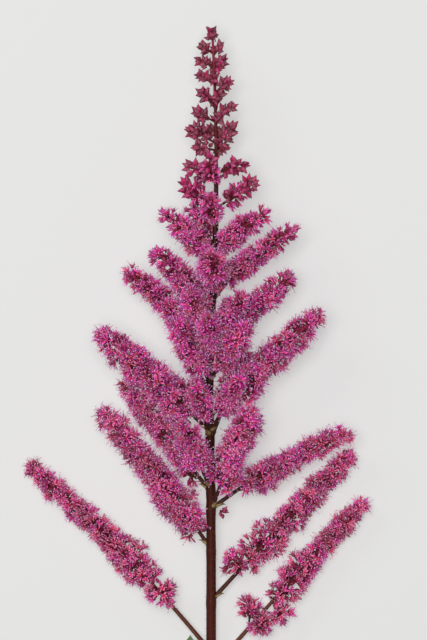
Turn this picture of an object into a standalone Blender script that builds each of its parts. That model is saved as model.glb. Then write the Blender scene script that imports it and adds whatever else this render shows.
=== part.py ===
# A cut astilbe flower stem, laid on its back on a flat surface.
# The frame: +Y runs along the stem from its cut end to its tip, +X is to the right as seen from above,
# +Z is up, and the surface is the plane z = 0. Lengths below are in millimetres until they are placed.
# "Height" is the distance along the stem from its cut end.
import math
import random

import bmesh
import bpy
from mathutils import Matrix, Vector

MM = 0.001

# Where the cut end's centre lies, so that the middle of the whole plant's box is over the origin.
STEM_X = 5.0
STEM_Y = -133.8

# The main stem: height, sideways drift and radius. It thins towards the tip and sways a little.
STEM_STATIONS = (
    (0, 0.0, 1.85),
    (40, 0.0, 1.80),
    (79, 0.0, 1.74),
    (108, -0.1, 1.62),
    (136, -0.6, 1.45),
    (147, -0.7, 1.42),
    (169, 0.4, 1.25),
    (183, 1.1, 1.10),
    (198, 1.6, 0.92),
    (212, 1.8, 0.75),
    (228, 1.8, 0.62),
    (248, 1.3, 0.52),
    (265, 0.5, 0.42),
)
STEM_STEP = 9.0
STEM_LIFT = 15.5  # how far the flowering part is held up by the sprays under it
STEM_LIFT_FROM, STEM_LIFT_TO = 8.0, 165.0
FLAT_DEPTH = 0.15  # how much of its roundness the stem loses where it lies on the surface

# Florets: each is a pointed tuft raised from the slim core of its spray.
FLORET_PITCH = 2.65
CORE_SHARE = 0.60  # the core's radius over the spray's
FLORET_JITTER = 0.13
FLORET_LEAN = 0.45  # how far a floret leans towards the spray's tip, in pitches
PRESSED_SHARE = 0.80  # height of a lying spray's axis over its radius: its lowest florets are pressed flat
JOINT_GAP = 0.35  # between a stalk's end and the spray on it
SEED = 7

# Long side sprays: name, height of the root on the stem, tip (x from the cut end's centre, height, z),
# share of bare stalk, radius near the base, radius near the tip, sideways bow of the stalk.
# A tip's z of LYING puts the spray on the surface.
LYING = None
SPRAYS = (
    ("spray_left_1", 48.2, (-64.7, 114.6, LYING), 0.35, 7.2, 4.2, 4.4),
    ("spray_right_1", 41.5, (54.4, 101.8, LYING), 0.41, 6.4, 4.4, -1.0),
    ("spray_right_2", 66.5, (50.5, 118.8, LYING), 0.25, 6.7, 4.3, -1.0),
    ("spray_right_3", 99.0, (48.5, 126.0, 16.0), 0.24, 5.4, 4.6, -4.2),
    ("spray_left_2", 85.0, (-38.7, 133.7, 12.0), 0.12, 8.2, 4.7, 2.0),
    ("spray_left_3", 105.0, (-30.8, 143.8, LYING), 0.22, 6.0, 5.2, 0.0),
    ("spray_left_4", 126.5, (-39.3, 162.2, 23.0), 0.14, 7.4, 5.8, 0.0),
    ("spray_right_4", 131.5, (38.6, 168.4, 20.0), 0.15, 7.2, 5.0, 0.0),
    ("spray_right_5", 98.0, (14.8, 135.2, 29.0), 0.25, 6.9, 5.6, -1.2),
    ("spray_left_5", 106.0, (-10.4, 130.5, 29.0), 0.30, 5.6, 4.8, 0.0),
    ("spray_right_6", 123.0, (12.0, 153.7, LYING), 0.34, 5.4, 4.8, 0.0),
    ("spray_left_6", 143.0, (-30.8, 182.2, 15.0), 0.20, 6.0, 4.6, 11.0),
    ("spray_left_7", 161.5, (-20.8, 189.4, 25.0), 0.21, 6.2, 5.0, 6.4),
    ("spray_left_8", 185.0, (-17.2, 203.2, 21.0), 0.16, 5.4, 4.3, 2.0),
    ("spray_left_9", 139.0, (-12.4, 166.6, 35.0), 0.26, 5.3, 4.6, 0.0),
    ("spray_left_10", 124.0, (-5.6, 144.6, 29.0), 0.36, 4.6, 4.1, 0.0),
    ("spray_left_11", 154.0, (-8.2, 176.4, 36.5), 0.32, 4.6, 4.1, 0.0),
    ("spray_right_7", 154.5, (29.0, 181.4, 17.0), 0.18, 6.0, 4.8, -1.5),
    ("spray_right_8", 175.0, (30.0, 197.4, 21.0), 0.18, 4.9, 3.9, -1.8),
    ("spray_right_9", 187.0, (20.7, 202.2, 24.0), 0.14, 5.4, 4.1, -4.5),
    ("spray_right_10", 144.0, (12.4, 163.2, 38.0), 0.26, 6.0, 5.2, 0.0),
    ("spray_right_11", 125.5, (10.4, 146.4, 31.5), 0.36, 4.6, 4.1, 0.0),
    ("spray_right_12", 157.0, (11.0, 175.0, 33.0), 0.26, 5.2, 4.4, 0.0),
    ("spray_top_1", 176.0, (0.7, 187.5, 40.0), 0.24, 6.2, 5.4, 0.0),
    ("spray_top_2", 151.0, (-0.9, 166.0, 43.2), 0.38, 4.6, 4.3, 0.0),
    ("spray_top_3", 198.0, (-1.4, 208.4, 30.0), 0.26, 4.4, 3.8, 0.0),
    ("spray_under_1", 161.5, (-12.0, 180.0, LYING), 0.34, 5.0, 4.4, 0.0),
    ("spray_under_2", 172.5, (15.0, 189.5, LYING), 0.36, 4.8, 4.2, 0.0),
    ("spray_under_3", 130.0, (-19.5, 146.5, LYING), 0.34, 5.2, 4.6, 0.0),
    ("spray_under_4", 114.0, (17.0, 131.0, LYING), 0.36, 5.2, 4.6, 0.0),
    ("spray_under_5", 190.0, (-7.0, 206.0, 7.0), 0.34, 4.2, 3.8, 0.0),
)

# Bunches that stand apart on a side stalk: name, the spray whose stalk carries it, share of that stalk's
# whole path, centre (x, height, z), radius.
SIDE_BUNCHES = (
    ("bunch_left_1", "spray_left_1", 0.28, (-17.4, 69.9, 10.6), 4.7),
    ("bunch_left_3", "spray_left_3", 0.12, (-8.2, 111.0, 5.6), 3.3),
    ("bunch_right_1a", "spray_right_1", 0.25, (13.7, 64.0, 4.8), 3.6),
    ("bunch_right_1b", "spray_right_1", 0.28, (18.0, 58.7, 9.8), 3.6),
    ("bunch_right_1c", "spray_right_1", 0.34, (25.2, 61.9, 4.8), 3.5),
    ("bunch_right_2", "spray_right_2", 0.20, (8.4, 80.8, 9.2), 3.8),
    ("bunch_right_3", "spray_right_3", 0.21, (20.0, 106.6, 8.8), 2.3),
)

# Short sprays between the tip and the long sprays: root height, tip (x, height, z), radii.
SHORT_SPRAYS = (
    ("spray_upper_1", 216.4, (12.0, 220.2, 18.6), 3.5, 2.9),
    ("spray_upper_2", 213.8, (-8.6, 219.6, 17.0), 3.8, 3.3),
    ("spray_upper_3", 205.0, (-10.3, 213.2, 19.4), 4.2, 3.6),
    ("spray_upper_4", 204.0, (15.9, 213.8, 19.0), 4.6, 3.5),
    ("spray_upper_5", 211.0, (-1.2, 221.6, 27.0), 4.0, 3.4),
)
SHORT_BARE_SHARE = 0.24

# The tip of the stem is one spray of unopened buds on its own thin axis, from TIP_FROM up.
# Its bunches: root height, centre (x, height, z over the axis), radius.
TIP_FROM = 222.0
TIP_BUNCHES = (
    (262.0, (0.4, 264.5, 0.3), 2.4),
    (258.0, (-2.1, 260.1, 0.6), 2.1),
    (257.4, (2.7, 259.9, -0.6), 2.1),
    (253.2, (-2.7, 255.3, -0.2), 2.3),
    (252.6, (3.3, 254.9, 1.0), 2.4),
    (248.0, (-2.6, 250.1, 1.0), 2.3),
    (247.0, (0.7, 249.1, 2.6), 2.0),
    (244.4, (4.8, 247.3, -0.4), 2.5),
    (240.8, (-2.4, 243.7, 1.2), 2.6),
    (240.4, (2.4, 242.7, 1.6), 2.4),
    (234.2, (-3.6, 236.9, 0.2), 2.7),
    (236.2, (5.7, 238.9, -1.0), 2.5),
    (233.0, (3.1, 235.9, 2.6), 2.3),
    (226.8, (-4.5, 230.3, 0.4), 3.7),
    (226.2, (5.3, 230.1, -0.6), 3.8),
    (224.4, (-2.9, 225.1, 2.6), 3.0),
    (252.0, (0.6, 253.7, -2.8), 2.0),
    (240.0, (1.1, 241.9, -3.0), 2.2),
    (228.6, (0.6, 231.1, -4.4), 2.7),
    (224.4, (3.1, 225.5, -2.6), 2.8),
)

# Stalks
STALK_RADIUS_LONG = 0.85
STALK_RADIUS_SHORT = 0.45
STALK_TAPER = 0.75
STALK_STEP = 10.0
BRACT_LENGTH, BRACT_RADIUS = 3.6, 0.95
BRACT_TILT = math.radians(24)  # away from the stalk that it stands under

# The leaf under the lowest left stalk: three toothed leaflets on one short petiole.
LEAF_ROOT_HEIGHT = 38.0
LEAF_FORK = (-7.6, 38.6, 3.6)
LEAF_THICKNESS = 0.7
LEAFLETS = (  # length, greatest width, direction in degrees from -X towards +Y
    (24.0, 12.5, 17.0),
    (15.5, 8.5, 91.0),
    (15.5, 8.5, -57.0),
)
LEAFLET_ROWS = 12
LEAFLET_ARCH = 1.6
LEAFLET_FOLD = 0.18
TOOTH_DEPTH = 0.17
PETIOLE_RADIUS = 0.6

COLOURS = {
    "stem": ((0.115, 0.030, 0.024), 0.55),
    "floret": ((0.420, 0.035, 0.150), 0.60),
    "bud": ((0.260, 0.028, 0.065), 0.55),
    "leaf": ((0.085, 0.160, 0.045), 0.50),
}


def clear_scene():
    for obj in list(bpy.data.objects):
        bpy.data.objects.remove(obj)


def make_material(name):
    colour, roughness = COLOURS[name]
    material = bpy.data.materials.new(name)
    material.use_nodes = True
    shader = material.node_tree.nodes["Principled BSDF"]
    shader.inputs["Base Color"].default_value = (*colour, 1.0)
    shader.inputs["Roughness"].default_value = roughness
    shader.inputs["Metallic"].default_value = 0.0
    material.diffuse_color = (*colour, 1.0)
    return material


# The main stem's axis

def smooth_step(value, low, high):
    share = min(1.0, max(0.0, (value - low) / (high - low)))
    return share * share * (3 - 2 * share)


def stem_station(height):
    """Sideways drift and radius of the stem at a height, between its stations."""
    for (low, drift_low, radius_low), (high, drift_high, radius_high) in zip(
        STEM_STATIONS, STEM_STATIONS[1:]
    ):
        if height <= high:
            share = max(0.0, (height - low) / (high - low))
            drift = drift_low + (drift_high - drift_low) * share
            return drift, radius_low + (radius_high - radius_low) * share
    return STEM_STATIONS[-1][1], STEM_STATIONS[-1][2]


def stem_axis(height):
    drift, _ = stem_station(height)
    lying = STEM_STATIONS[0][2] - FLAT_DEPTH
    lift = STEM_LIFT * smooth_step(height, STEM_LIFT_FROM, STEM_LIFT_TO)
    return Vector((drift, height, lying + lift))


# Paths of side stalks

def bent_path(root, middle, tip):
    """A quadratic Bezier as a function of the share of its path, 0 at the root and 1 at the tip."""
    def at(share):
        left = 1.0 - share
        return root * left * left + middle * 2.0 * left * share + tip * share * share
    return at


def spray_path(root, tip, bow, lies):
    """A stalk leaves the stem and bends to its tip. One that lies reaches the surface early and runs along it."""
    across = Vector((tip.y - root.y, root.x - tip.x, 0.0)).normalized()
    middle = (root + tip) / 2 + across * bow
    middle.z = tip.z if lies else root.z + (tip.z - root.z) * 0.55
    return bent_path(root, middle, tip)


def path_length(path, start, end, steps=24):
    points = [path(start + (end - start) * i / steps) for i in range(steps + 1)]
    return sum((b - a).length for a, b in zip(points, points[1:]))


def path_frame(path, share):
    """Point, tangent and two directions across the path."""
    step = 0.01
    point = path(share)
    tangent = (path(share + step) - path(share - step)).normalized()
    side = tangent.cross(Vector((0, 0, 1)))
    if side.length < 0.2:
        side = tangent.cross(Vector((1, 0, 0)))
    side.normalize()
    return point, tangent, side, side.cross(tangent)


# Meshes

def add_object(name, mesh, material, collection, parent=None):
    mesh.materials.clear()
    mesh.materials.append(material)
    obj = bpy.data.objects.new(name, mesh)
    collection.objects.link(obj)
    obj.parent = parent
    return obj


def press_flat(mesh_builder):
    """Cuts off what would reach under the surface and closes the cuts, so that it rests on flat spots."""
    if min(vert.co.z for vert in mesh_builder.verts) >= 0:
        return
    everything = mesh_builder.verts[:] + mesh_builder.edges[:] + mesh_builder.faces[:]
    cut = bmesh.ops.bisect_plane(
        mesh_builder,
        geom=everything,
        dist=1e-7,
        plane_co=(0, 0, 0),
        plane_no=(0, 0, -1),
        clear_outer=True,
    )
    rim = [item for item in cut["geom_cut"] if isinstance(item, bmesh.types.BMEdge)]
    bmesh.ops.contextual_create(mesh_builder, geom=rim)
    open_edges = [edge for edge in mesh_builder.edges if edge.is_boundary]
    if open_edges:
        bmesh.ops.holes_fill(mesh_builder, edges=open_edges)


def face_outward(mesh_builder):
    """Makes all faces look out of the closed body."""
    bmesh.ops.recalc_face_normals(mesh_builder, faces=mesh_builder.faces[:])
    if mesh_builder.calc_volume(signed=True) < 0:
        bmesh.ops.reverse_faces(mesh_builder, faces=mesh_builder.faces[:])


def spray_profile(share, base, tip):
    """Radius of a spray along its length: a short swelling at the base and a blunt rounded tip."""
    radius = base + (tip - base) * share
    if share < 0.14:
        radius *= 0.50 + 0.50 * math.sin(share / 0.14 * math.pi / 2)
    if share > 0.84:
        radius *= math.sqrt(max(0.0, 1.0 - ((share - 0.84) / 0.16) ** 2)) * 0.85 + 0.15
    return radius


def spray_mesh(name, path, start, base, tip, rng):
    """A slim core with florets raised from it: a closed grid whose every other corner stands out as a point."""
    length = path_length(path, start, 1.0)
    start += JOINT_GAP / path_length(path, 0.0, 1.0)
    rows = max(4, round(length / (FLORET_PITCH * 0.5)) // 2)
    columns = max(6, 2 * round(math.pi * (base + tip) / 2 / FLORET_PITCH))
    builder = bmesh.new()
    bmesh.ops.create_uvsphere(builder, u_segments=columns, v_segments=rows, radius=1.0)
    for vert in builder.verts:
        polar = math.acos(max(-1.0, min(1.0, -vert.co.z)))
        ring = round(polar / math.pi * rows)
        column = round(math.atan2(vert.co.y, vert.co.x) / (2 * math.pi) * columns)
        share = start + (1.0 - start) * ring / rows
        point, tangent, side, up = path_frame(path, share)
        if ring in (0, rows):
            vert.co = point
            continue
        radius = spray_profile(ring / rows, base, tip)
        angle = 2 * math.pi * column / columns
        if (ring + column) % 2 == 0:
            radius *= 1.0 + rng.uniform(-FLORET_JITTER, FLORET_JITTER)
            lean = FLORET_LEAN * FLORET_PITCH * rng.uniform(0.6, 1.2)
        else:
            radius *= CORE_SHARE
            lean = 0.0
        vert.co = point + tangent * lean + (side * math.cos(angle) + up * math.sin(angle)) * radius
    bmesh.ops.triangulate(builder, faces=builder.faces[:], quad_method="SHORT_EDGE")
    press_flat(builder)
    face_outward(builder)
    builder.transform(Matrix.Scale(MM, 4))
    mesh = bpy.data.meshes.new(name)
    builder.to_mesh(mesh)
    builder.free()
    return mesh


def tube(name, points, radii, sides_level, collection):
    """A stalk as a bevelled curve, made a mesh with its caps welded, ready for the union."""
    curve = bpy.data.curves.new(name, "CURVE")
    curve.dimensions = "3D"
    curve.bevel_depth = MM
    curve.bevel_resolution = sides_level
    curve.use_fill_caps = True
    spline = curve.splines.new("POLY")
    spline.points.add(len(points) - 1)
    for place, point, radius in zip(spline.points, points, radii):
        place.co = (*(point * MM), 1.0)
        place.radius = radius
    guide = bpy.data.objects.new(name + "_guide", curve)
    collection.objects.link(guide)
    bpy.context.view_layer.update()
    mesh = bpy.data.meshes.new_from_object(guide.evaluated_get(bpy.context.evaluated_depsgraph_get()))
    bpy.data.objects.remove(guide)
    builder = bmesh.new()
    builder.from_mesh(mesh)
    bmesh.ops.remove_doubles(builder, verts=builder.verts[:], dist=0.00001)
    bmesh.ops.recalc_face_normals(builder, faces=builder.faces[:])
    builder.to_mesh(mesh)
    builder.free()
    obj = bpy.data.objects.new(name, mesh)
    collection.objects.link(obj)
    return obj


def join_all(body, pieces, solver="EXACT"):
    """One Boolean union of a body with every piece in a collection, applied, with the pieces then removed."""
    union = body.modifiers.new("join", "BOOLEAN")
    union.operation = "UNION"
    union.operand_type = "COLLECTION"
    union.collection = pieces
    union.solver = solver
    bpy.context.view_layer.update()
    mesh = bpy.data.meshes.new_from_object(body.evaluated_get(bpy.context.evaluated_depsgraph_get()))
    body.modifiers.clear()
    body.data = mesh
    for piece in list(pieces.objects):
        bpy.data.objects.remove(piece)


def stalk(name, path, end, thick, collection, sides_level=1):
    """The bare part of a side stalk, from inside what carries it to the spray's base."""
    count = max(2, math.ceil(path_length(path, 0.0, end) / STALK_STEP) + 1)
    shares = [end * i / (count - 1) for i in range(count)]
    radii = [thick * (1.0 - (1.0 - STALK_TAPER) * share / end) for share in shares]
    return tube(name, [path(share) for share in shares], radii, sides_level, collection)


def bract(name, path, root_radius, collection):
    """A small pointed scale in the angle under a long stalk."""
    point, tangent, side, _ = path_frame(path, (root_radius + BRACT_LENGTH * 0.35) / path_length(path, 0.0, 1.0))
    below = Vector((0.0, -1.0, 0.0)) - tangent * -tangent.y
    aim = (tangent * math.cos(BRACT_TILT) + below.normalized() * math.sin(BRACT_TILT)).normalized()
    builder = bmesh.new()
    bmesh.ops.create_cone(
        builder,
        cap_ends=True,
        segments=4,
        radius1=BRACT_RADIUS,
        radius2=BRACT_RADIUS * 0.12,
        depth=BRACT_LENGTH,
    )
    turn = aim.to_track_quat("Z", "Y").to_matrix().to_4x4()
    place = Matrix.Translation(point + aim * BRACT_LENGTH * 0.1)
    builder.transform(Matrix.Scale(MM, 4) @ place @ turn)
    mesh = bpy.data.meshes.new(name)
    builder.to_mesh(mesh)
    builder.free()
    obj = bpy.data.objects.new(name, mesh)
    collection.objects.link(obj)


def build_axis(name, low, high, sides_level, collection):
    """A stretch of the main stem as a tube."""
    count = round((high - low) / STEM_STEP) + 1
    heights = [low + (high - low) * i / (count - 1) for i in range(count)]
    radii = [stem_station(height)[1] for height in heights]
    return tube(name, [stem_axis(height) for height in heights], radii, sides_level, collection)


def finish_joined(body, material, parent):
    """Presses what lies on the surface flat, and gives the joined body its material."""
    builder = bmesh.new()
    builder.from_mesh(body.data)
    bmesh.ops.remove_doubles(builder, verts=builder.verts[:], dist=0.000001)
    builder.transform(Matrix.Scale(1 / MM, 4))
    press_flat(builder)
    bmesh.ops.triangulate(builder, faces=builder.faces[:])
    face_outward(builder)
    builder.transform(Matrix.Scale(MM, 4))
    builder.to_mesh(body.data)
    builder.free()
    body.data.materials.clear()
    body.data.materials.append(material)
    body.parent = parent


# The leaf

def leaflet(name, fork, size, collection):
    """One toothed blade: a grid narrowed to a leaf's outline, arched along its length and folded at its rib."""
    length, width, turn = size
    columns = 2
    builder = bmesh.new()
    bmesh.ops.create_grid(builder, x_segments=LEAFLET_ROWS, y_segments=columns, size=0.5)
    heading = math.radians(180.0 - turn)
    along = Vector((math.cos(heading), math.sin(heading), 0.0))
    across = Vector((-along.y, along.x, 0.0))
    for vert in builder.verts:
        share = vert.co.x + 0.5
        row = round(share * LEAFLET_ROWS)
        tooth = 1.0 if row % 2 else 1.0 - TOOTH_DEPTH
        half = width / 2 * math.sin(math.pi * min(1.0, share ** 0.75 + 0.02)) ** 0.8 * tooth + 0.35
        offset = vert.co.y * 2 * half
        forward = length * share + (0.6 if row % 2 else 0.0) * abs(vert.co.y) * 2
        lift = LEAFLET_ARCH * math.sin(math.pi * share) - LEAFLET_ARCH * 0.9 * share
        vert.co = fork + along * forward + across * offset + Vector((0, 0, lift + LEAFLET_FOLD * abs(offset)))
    bmesh.ops.triangulate(builder, faces=builder.faces[:], quad_method="FIXED")
    builder.transform(Matrix.Scale(MM, 4))
    mesh = bpy.data.meshes.new(name)
    builder.to_mesh(mesh)
    builder.free()
    obj = bpy.data.objects.new(name, mesh)
    collection.objects.link(obj)
    thicken = obj.modifiers.new("thickness", "SOLIDIFY")
    thicken.thickness = LEAF_THICKNESS * MM
    thicken.offset = 0.0
    bpy.context.view_layer.update()
    thick = bpy.data.meshes.new_from_object(obj.evaluated_get(bpy.context.evaluated_depsgraph_get()))
    obj.modifiers.clear()
    obj.data = thick
    return obj


def build_leaf(materials, scraps, collection, parent):
    root = stem_axis(LEAF_ROOT_HEIGHT)
    fork = Vector(LEAF_FORK)
    clear = stem_station(LEAF_ROOT_HEIGHT)[1] + JOINT_GAP
    outward = (fork - root).normalized()
    foot = root + outward * clear
    beyond = fork + outward * 1.5
    leaf = tube("leaf", [foot, (foot + fork) / 2 + Vector((0, 0, 0.4)), fork, beyond],
                [PETIOLE_RADIUS] * 4, 1, collection)
    for number, size in enumerate(LEAFLETS):
        leaflet(f"leaflet_{number}", fork, size, scraps)
    join_all(leaf, scraps)
    finish_joined(leaf, materials["leaf"], parent)


# The tip

def build_tip(materials, rng, scraps, collection, parent):
    """The thin axis above the last short sprays with its bunches of buds, joined into one body."""
    tip = build_axis("spray_tip", TIP_FROM, STEM_STATIONS[-1][0], 1, collection)
    for number, (height, (x, centre_height, over), radius) in enumerate(TIP_BUNCHES, 1):
        centre = Vector((x, centre_height, stem_axis(centre_height).z + over))
        path, bare = round_bunch(stem_axis(height), centre, radius)
        stalk(f"stalk_tip_{number}", path, bare + 0.25, STALK_RADIUS_SHORT * 0.85, scraps, 0)
        mesh = spray_mesh(f"buds_{number}", path, bare, radius, radius, rng)
        scraps.objects.link(bpy.data.objects.new(f"buds_{number}", mesh))
    join_all(tip, scraps, "MANIFOLD")
    finish_joined(tip, materials["bud"], parent)


# The whole plant

def long_spray_paths():
    """The path of each long spray, by name, with its bare share, radii and root height."""
    found = {}
    for name, height, (x, tip_height, z), bare, base, tip, bow in SPRAYS:
        lies = z is LYING
        tip_point = Vector((x, tip_height, base * PRESSED_SHARE if lies else z))
        found[name] = (spray_path(stem_axis(height), tip_point, bow, lies), bare, base, tip, height)
    return found


def round_bunch(root, centre, radius):
    """Path and bare share of a small round bunch: the path runs from its root through its centre."""
    reach = (centre - root).length
    tip = centre + (centre - root).normalized() * radius
    bare = max(0.12, (reach - radius) / (reach + radius))
    return bent_path(root, (root + tip) / 2, tip), bare


def main():
    clear_scene()
    rng = random.Random(SEED)
    collection = bpy.data.collections.new("astilbe_flower_stem")
    scraps = bpy.data.collections.new("pieces_to_join")
    bpy.context.scene.collection.children.link(collection)
    bpy.context.scene.collection.children.link(scraps)
    materials = {name: make_material(name) for name in COLOURS}
    frame = bpy.data.objects.new("plant_frame", None)
    frame.location = (STEM_X * MM, STEM_Y * MM, 0.0)
    collection.objects.link(frame)

    stem = build_axis("stem", 0.0, TIP_FROM - JOINT_GAP, 2, collection)
    paths = long_spray_paths()
    bodies = []
    for name, (path, bare, base, tip, height) in paths.items():
        stalk("stalk_" + name, path, bare, STALK_RADIUS_LONG, scraps)
        bract("bract_" + name, path, stem_station(height)[1], scraps)
        bodies.append((name, path, bare, base, tip))
    for name, carrier, share, centre, radius in SIDE_BUNCHES:
        path, bare = round_bunch(paths[carrier][0](share), Vector(centre), radius)
        stalk("stalk_" + name, path, bare, STALK_RADIUS_SHORT, scraps, 0)
        bodies.append((name, path, bare, radius, radius))
    for name, height, tip_place, base, tip in SHORT_SPRAYS:
        path = spray_path(stem_axis(height), Vector(tip_place), 0.0, False)
        stalk("stalk_" + name, path, SHORT_BARE_SHARE, STALK_RADIUS_SHORT * 1.2, scraps, 0)
        bodies.append((name, path, SHORT_BARE_SHARE, base, tip))
    join_all(stem, scraps)
    finish_joined(stem, materials["stem"], frame)
    for name, path, bare, base, tip in bodies:
        mesh = spray_mesh(name, path, bare, base, tip, rng)
        add_object(name, mesh, materials["floret"], collection, frame)
    build_tip(materials, rng, scraps, collection, frame)
    build_leaf(materials, scraps, collection, frame)


main()
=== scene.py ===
import math

import bmesh
import bpy
import numpy as np
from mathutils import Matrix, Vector


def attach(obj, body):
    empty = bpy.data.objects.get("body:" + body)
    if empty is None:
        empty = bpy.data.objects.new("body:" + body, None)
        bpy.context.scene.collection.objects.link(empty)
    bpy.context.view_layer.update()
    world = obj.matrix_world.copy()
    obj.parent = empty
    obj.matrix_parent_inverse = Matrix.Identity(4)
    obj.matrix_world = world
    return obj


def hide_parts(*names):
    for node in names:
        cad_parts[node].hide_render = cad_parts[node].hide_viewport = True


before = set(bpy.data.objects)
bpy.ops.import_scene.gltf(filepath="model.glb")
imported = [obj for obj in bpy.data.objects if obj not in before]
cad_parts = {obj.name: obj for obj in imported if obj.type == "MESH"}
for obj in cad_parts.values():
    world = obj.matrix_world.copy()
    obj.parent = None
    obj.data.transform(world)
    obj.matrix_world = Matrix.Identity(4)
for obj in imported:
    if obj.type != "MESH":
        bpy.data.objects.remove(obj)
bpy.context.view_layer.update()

# A cut astilbe stem lying on its back. +Y runs from the cut end to the tip, z = 0 is the surface.
# Sizes are in millimetres until a mesh is made.
mm = 0.001
lying = None  # a spray whose tip has this for its z lies on the surface


# Plant: where everything grows

plant = {
    "foot": (5.0, -133.8),  # x and y of the cut end's centre
    "stations": (  # height along the stem, drift to the side, radius
        (0, 0.0, 1.85), (40, 0.0, 1.80), (79, 0.0, 1.74), (108, -0.1, 1.62), (136, -0.6, 1.45),
        (147, -0.7, 1.42), (169, 0.4, 1.25), (183, 1.1, 1.10), (198, 1.6, 0.92), (212, 1.8, 0.75),
        (228, 1.8, 0.62), (248, 1.3, 0.52), (265, 0.5, 0.42),
    ),
    "axisLow": 1.70,  # height of the stem's axis at the cut end
    "lift": 15.5, "liftFrom": 8.0, "liftTo": 165.0,  # how much the stem rises over the surface, and where
    "pressed": 0.80,  # height of a lying spray's axis over its radius
    "middleRise": 0.55,  # share of a raised spray's rise that it has made halfway
    "gap": 0.35,  # between a piece and the stem that carries it
}

# name, root height, tip (x, height, z), bare share, radius at the base and near the tip, bow,
# how far open the florets are at the base and at the tip, age of the flowers (0 fresh, 1 fading)
sprayKeys = ("name", "root", "tip", "bare", "base", "tipRadius", "bow", "openBase", "openTip", "age")
sprayRows = (
    ("left_1", 48.2, (-64.7, 114.6, lying), 0.35, 7.2, 4.2, 4.4, 0.54, 0.76, 0.9),
    ("right_1", 41.5, (54.4, 101.8, lying), 0.41, 6.4, 4.4, -1.0, 0.54, 0.76, 0.9),
    ("right_2", 66.5, (50.5, 118.8, lying), 0.25, 6.7, 4.3, -1.0, 0.58, 0.80, 0.75),
    ("right_3", 99.0, (48.5, 126.0, 16.0), 0.24, 5.4, 4.6, -4.2, 1.0, 0.8, 0.5),
    ("left_2", 85.0, (-38.7, 133.7, 12.0), 0.12, 8.2, 4.7, 2.0, 0.85, 0.9, 0.6),
    ("left_3", 105.0, (-30.8, 143.8, lying), 0.22, 6.0, 5.2, 0.0, 1.0, 0.85, 0.4),
    ("left_4", 126.5, (-39.3, 162.2, 23.0), 0.14, 7.4, 5.8, 0.0, 1.0, 0.8, 0.2),
    ("right_4", 131.5, (38.6, 168.4, 20.0), 0.15, 7.2, 5.0, 0.0, 1.0, 0.75, 0.2),
    ("right_5", 98.0, (14.8, 135.2, 29.0), 0.25, 6.9, 5.6, -1.2, 1.0, 0.9, 0.4),
    ("left_5", 106.0, (-10.4, 130.5, 29.0), 0.30, 5.6, 4.8, 0.0, 1.0, 0.9, 0.4),
    ("right_6", 123.0, (12.0, 153.7, lying), 0.34, 5.4, 4.8, 0.0, 1.0, 0.9, 0.3),
    ("left_6", 143.0, (-30.8, 182.2, 15.0), 0.20, 6.0, 4.6, 11.0, 1.0, 0.65, 0.1),
    ("left_7", 161.5, (-20.8, 189.4, 25.0), 0.21, 6.2, 5.0, 6.4, 0.95, 0.65, 0.05),
    ("left_8", 185.0, (-17.2, 203.2, 21.0), 0.16, 5.4, 4.3, 2.0, 0.85, 0.52, 0.05),
    ("left_9", 139.0, (-12.4, 166.6, 35.0), 0.26, 5.3, 4.6, 0.0, 1.0, 0.9, 0.1),
    ("left_10", 124.0, (-5.6, 144.6, 29.0), 0.36, 4.6, 4.1, 0.0, 1.0, 0.9, 0.2),
    ("left_11", 154.0, (-8.2, 176.4, 36.5), 0.32, 4.6, 4.1, 0.0, 1.0, 0.85, 0.05),
    ("right_7", 154.5, (29.0, 181.4, 17.0), 0.18, 6.0, 4.8, -1.5, 1.0, 0.65, 0.1),
    ("right_8", 175.0, (30.0, 197.4, 21.0), 0.18, 4.9, 3.9, -1.8, 0.85, 0.42, 0.1),
    ("right_9", 187.0, (20.7, 202.2, 24.0), 0.14, 5.4, 4.1, -4.5, 0.85, 0.42, 0.05),
    ("right_10", 144.0, (12.4, 163.2, 38.0), 0.26, 6.0, 5.2, 0.0, 1.0, 0.9, 0.1),
    ("right_11", 125.5, (10.4, 146.4, 31.5), 0.36, 4.6, 4.1, 0.0, 1.0, 0.9, 0.2),
    ("right_12", 157.0, (11.0, 175.0, 33.0), 0.26, 5.2, 4.4, 0.0, 1.0, 0.85, 0.05),
    ("top_1", 176.0, (0.7, 187.5, 40.0), 0.24, 6.2, 5.4, 0.0, 0.95, 0.6, 0.0),
    ("top_2", 151.0, (-0.9, 166.0, 43.2), 0.38, 4.6, 4.3, 0.0, 1.0, 0.9, 0.05),
    ("top_3", 198.0, (-1.4, 208.4, 30.0), 0.26, 4.4, 3.8, 0.0, 0.7, 0.35, 0.0),
    ("under_1", 161.5, (-12.0, 180.0, lying), 0.34, 5.0, 4.4, 0.0, 1.0, 0.8, 0.1),
    ("under_2", 172.5, (15.0, 189.5, lying), 0.36, 4.8, 4.2, 0.0, 0.9, 0.6, 0.1),
    ("under_3", 130.0, (-19.5, 146.5, lying), 0.34, 5.2, 4.6, 0.0, 1.0, 0.9, 0.2),
    ("under_4", 114.0, (17.0, 131.0, lying), 0.36, 5.2, 4.6, 0.0, 1.0, 0.9, 0.3),
    ("under_5", 190.0, (-7.0, 206.0, 7.0), 0.34, 4.2, 3.8, 0.0, 0.7, 0.35, 0.0),
    ("upper_1", 216.4, (12.0, 220.2, 18.6), 0.24, 3.5, 2.9, 0.0, 0.2, 0.05, 0.0),
    ("upper_2", 213.8, (-8.6, 219.6, 17.0), 0.24, 3.8, 3.3, 0.0, 0.25, 0.1, 0.0),
    ("upper_3", 205.0, (-10.3, 213.2, 19.4), 0.24, 4.2, 3.6, 0.0, 0.4, 0.15, 0.0),
    ("upper_4", 204.0, (15.9, 213.8, 19.0), 0.24, 4.6, 3.5, 0.0, 0.4, 0.1, 0.0),
    ("upper_5", 211.0, (-1.2, 221.6, 27.0), 0.24, 4.0, 3.4, 0.0, 0.4, 0.2, 0.0),
)
sprays = [dict(zip(sprayKeys, row)) for row in sprayRows]
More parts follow.
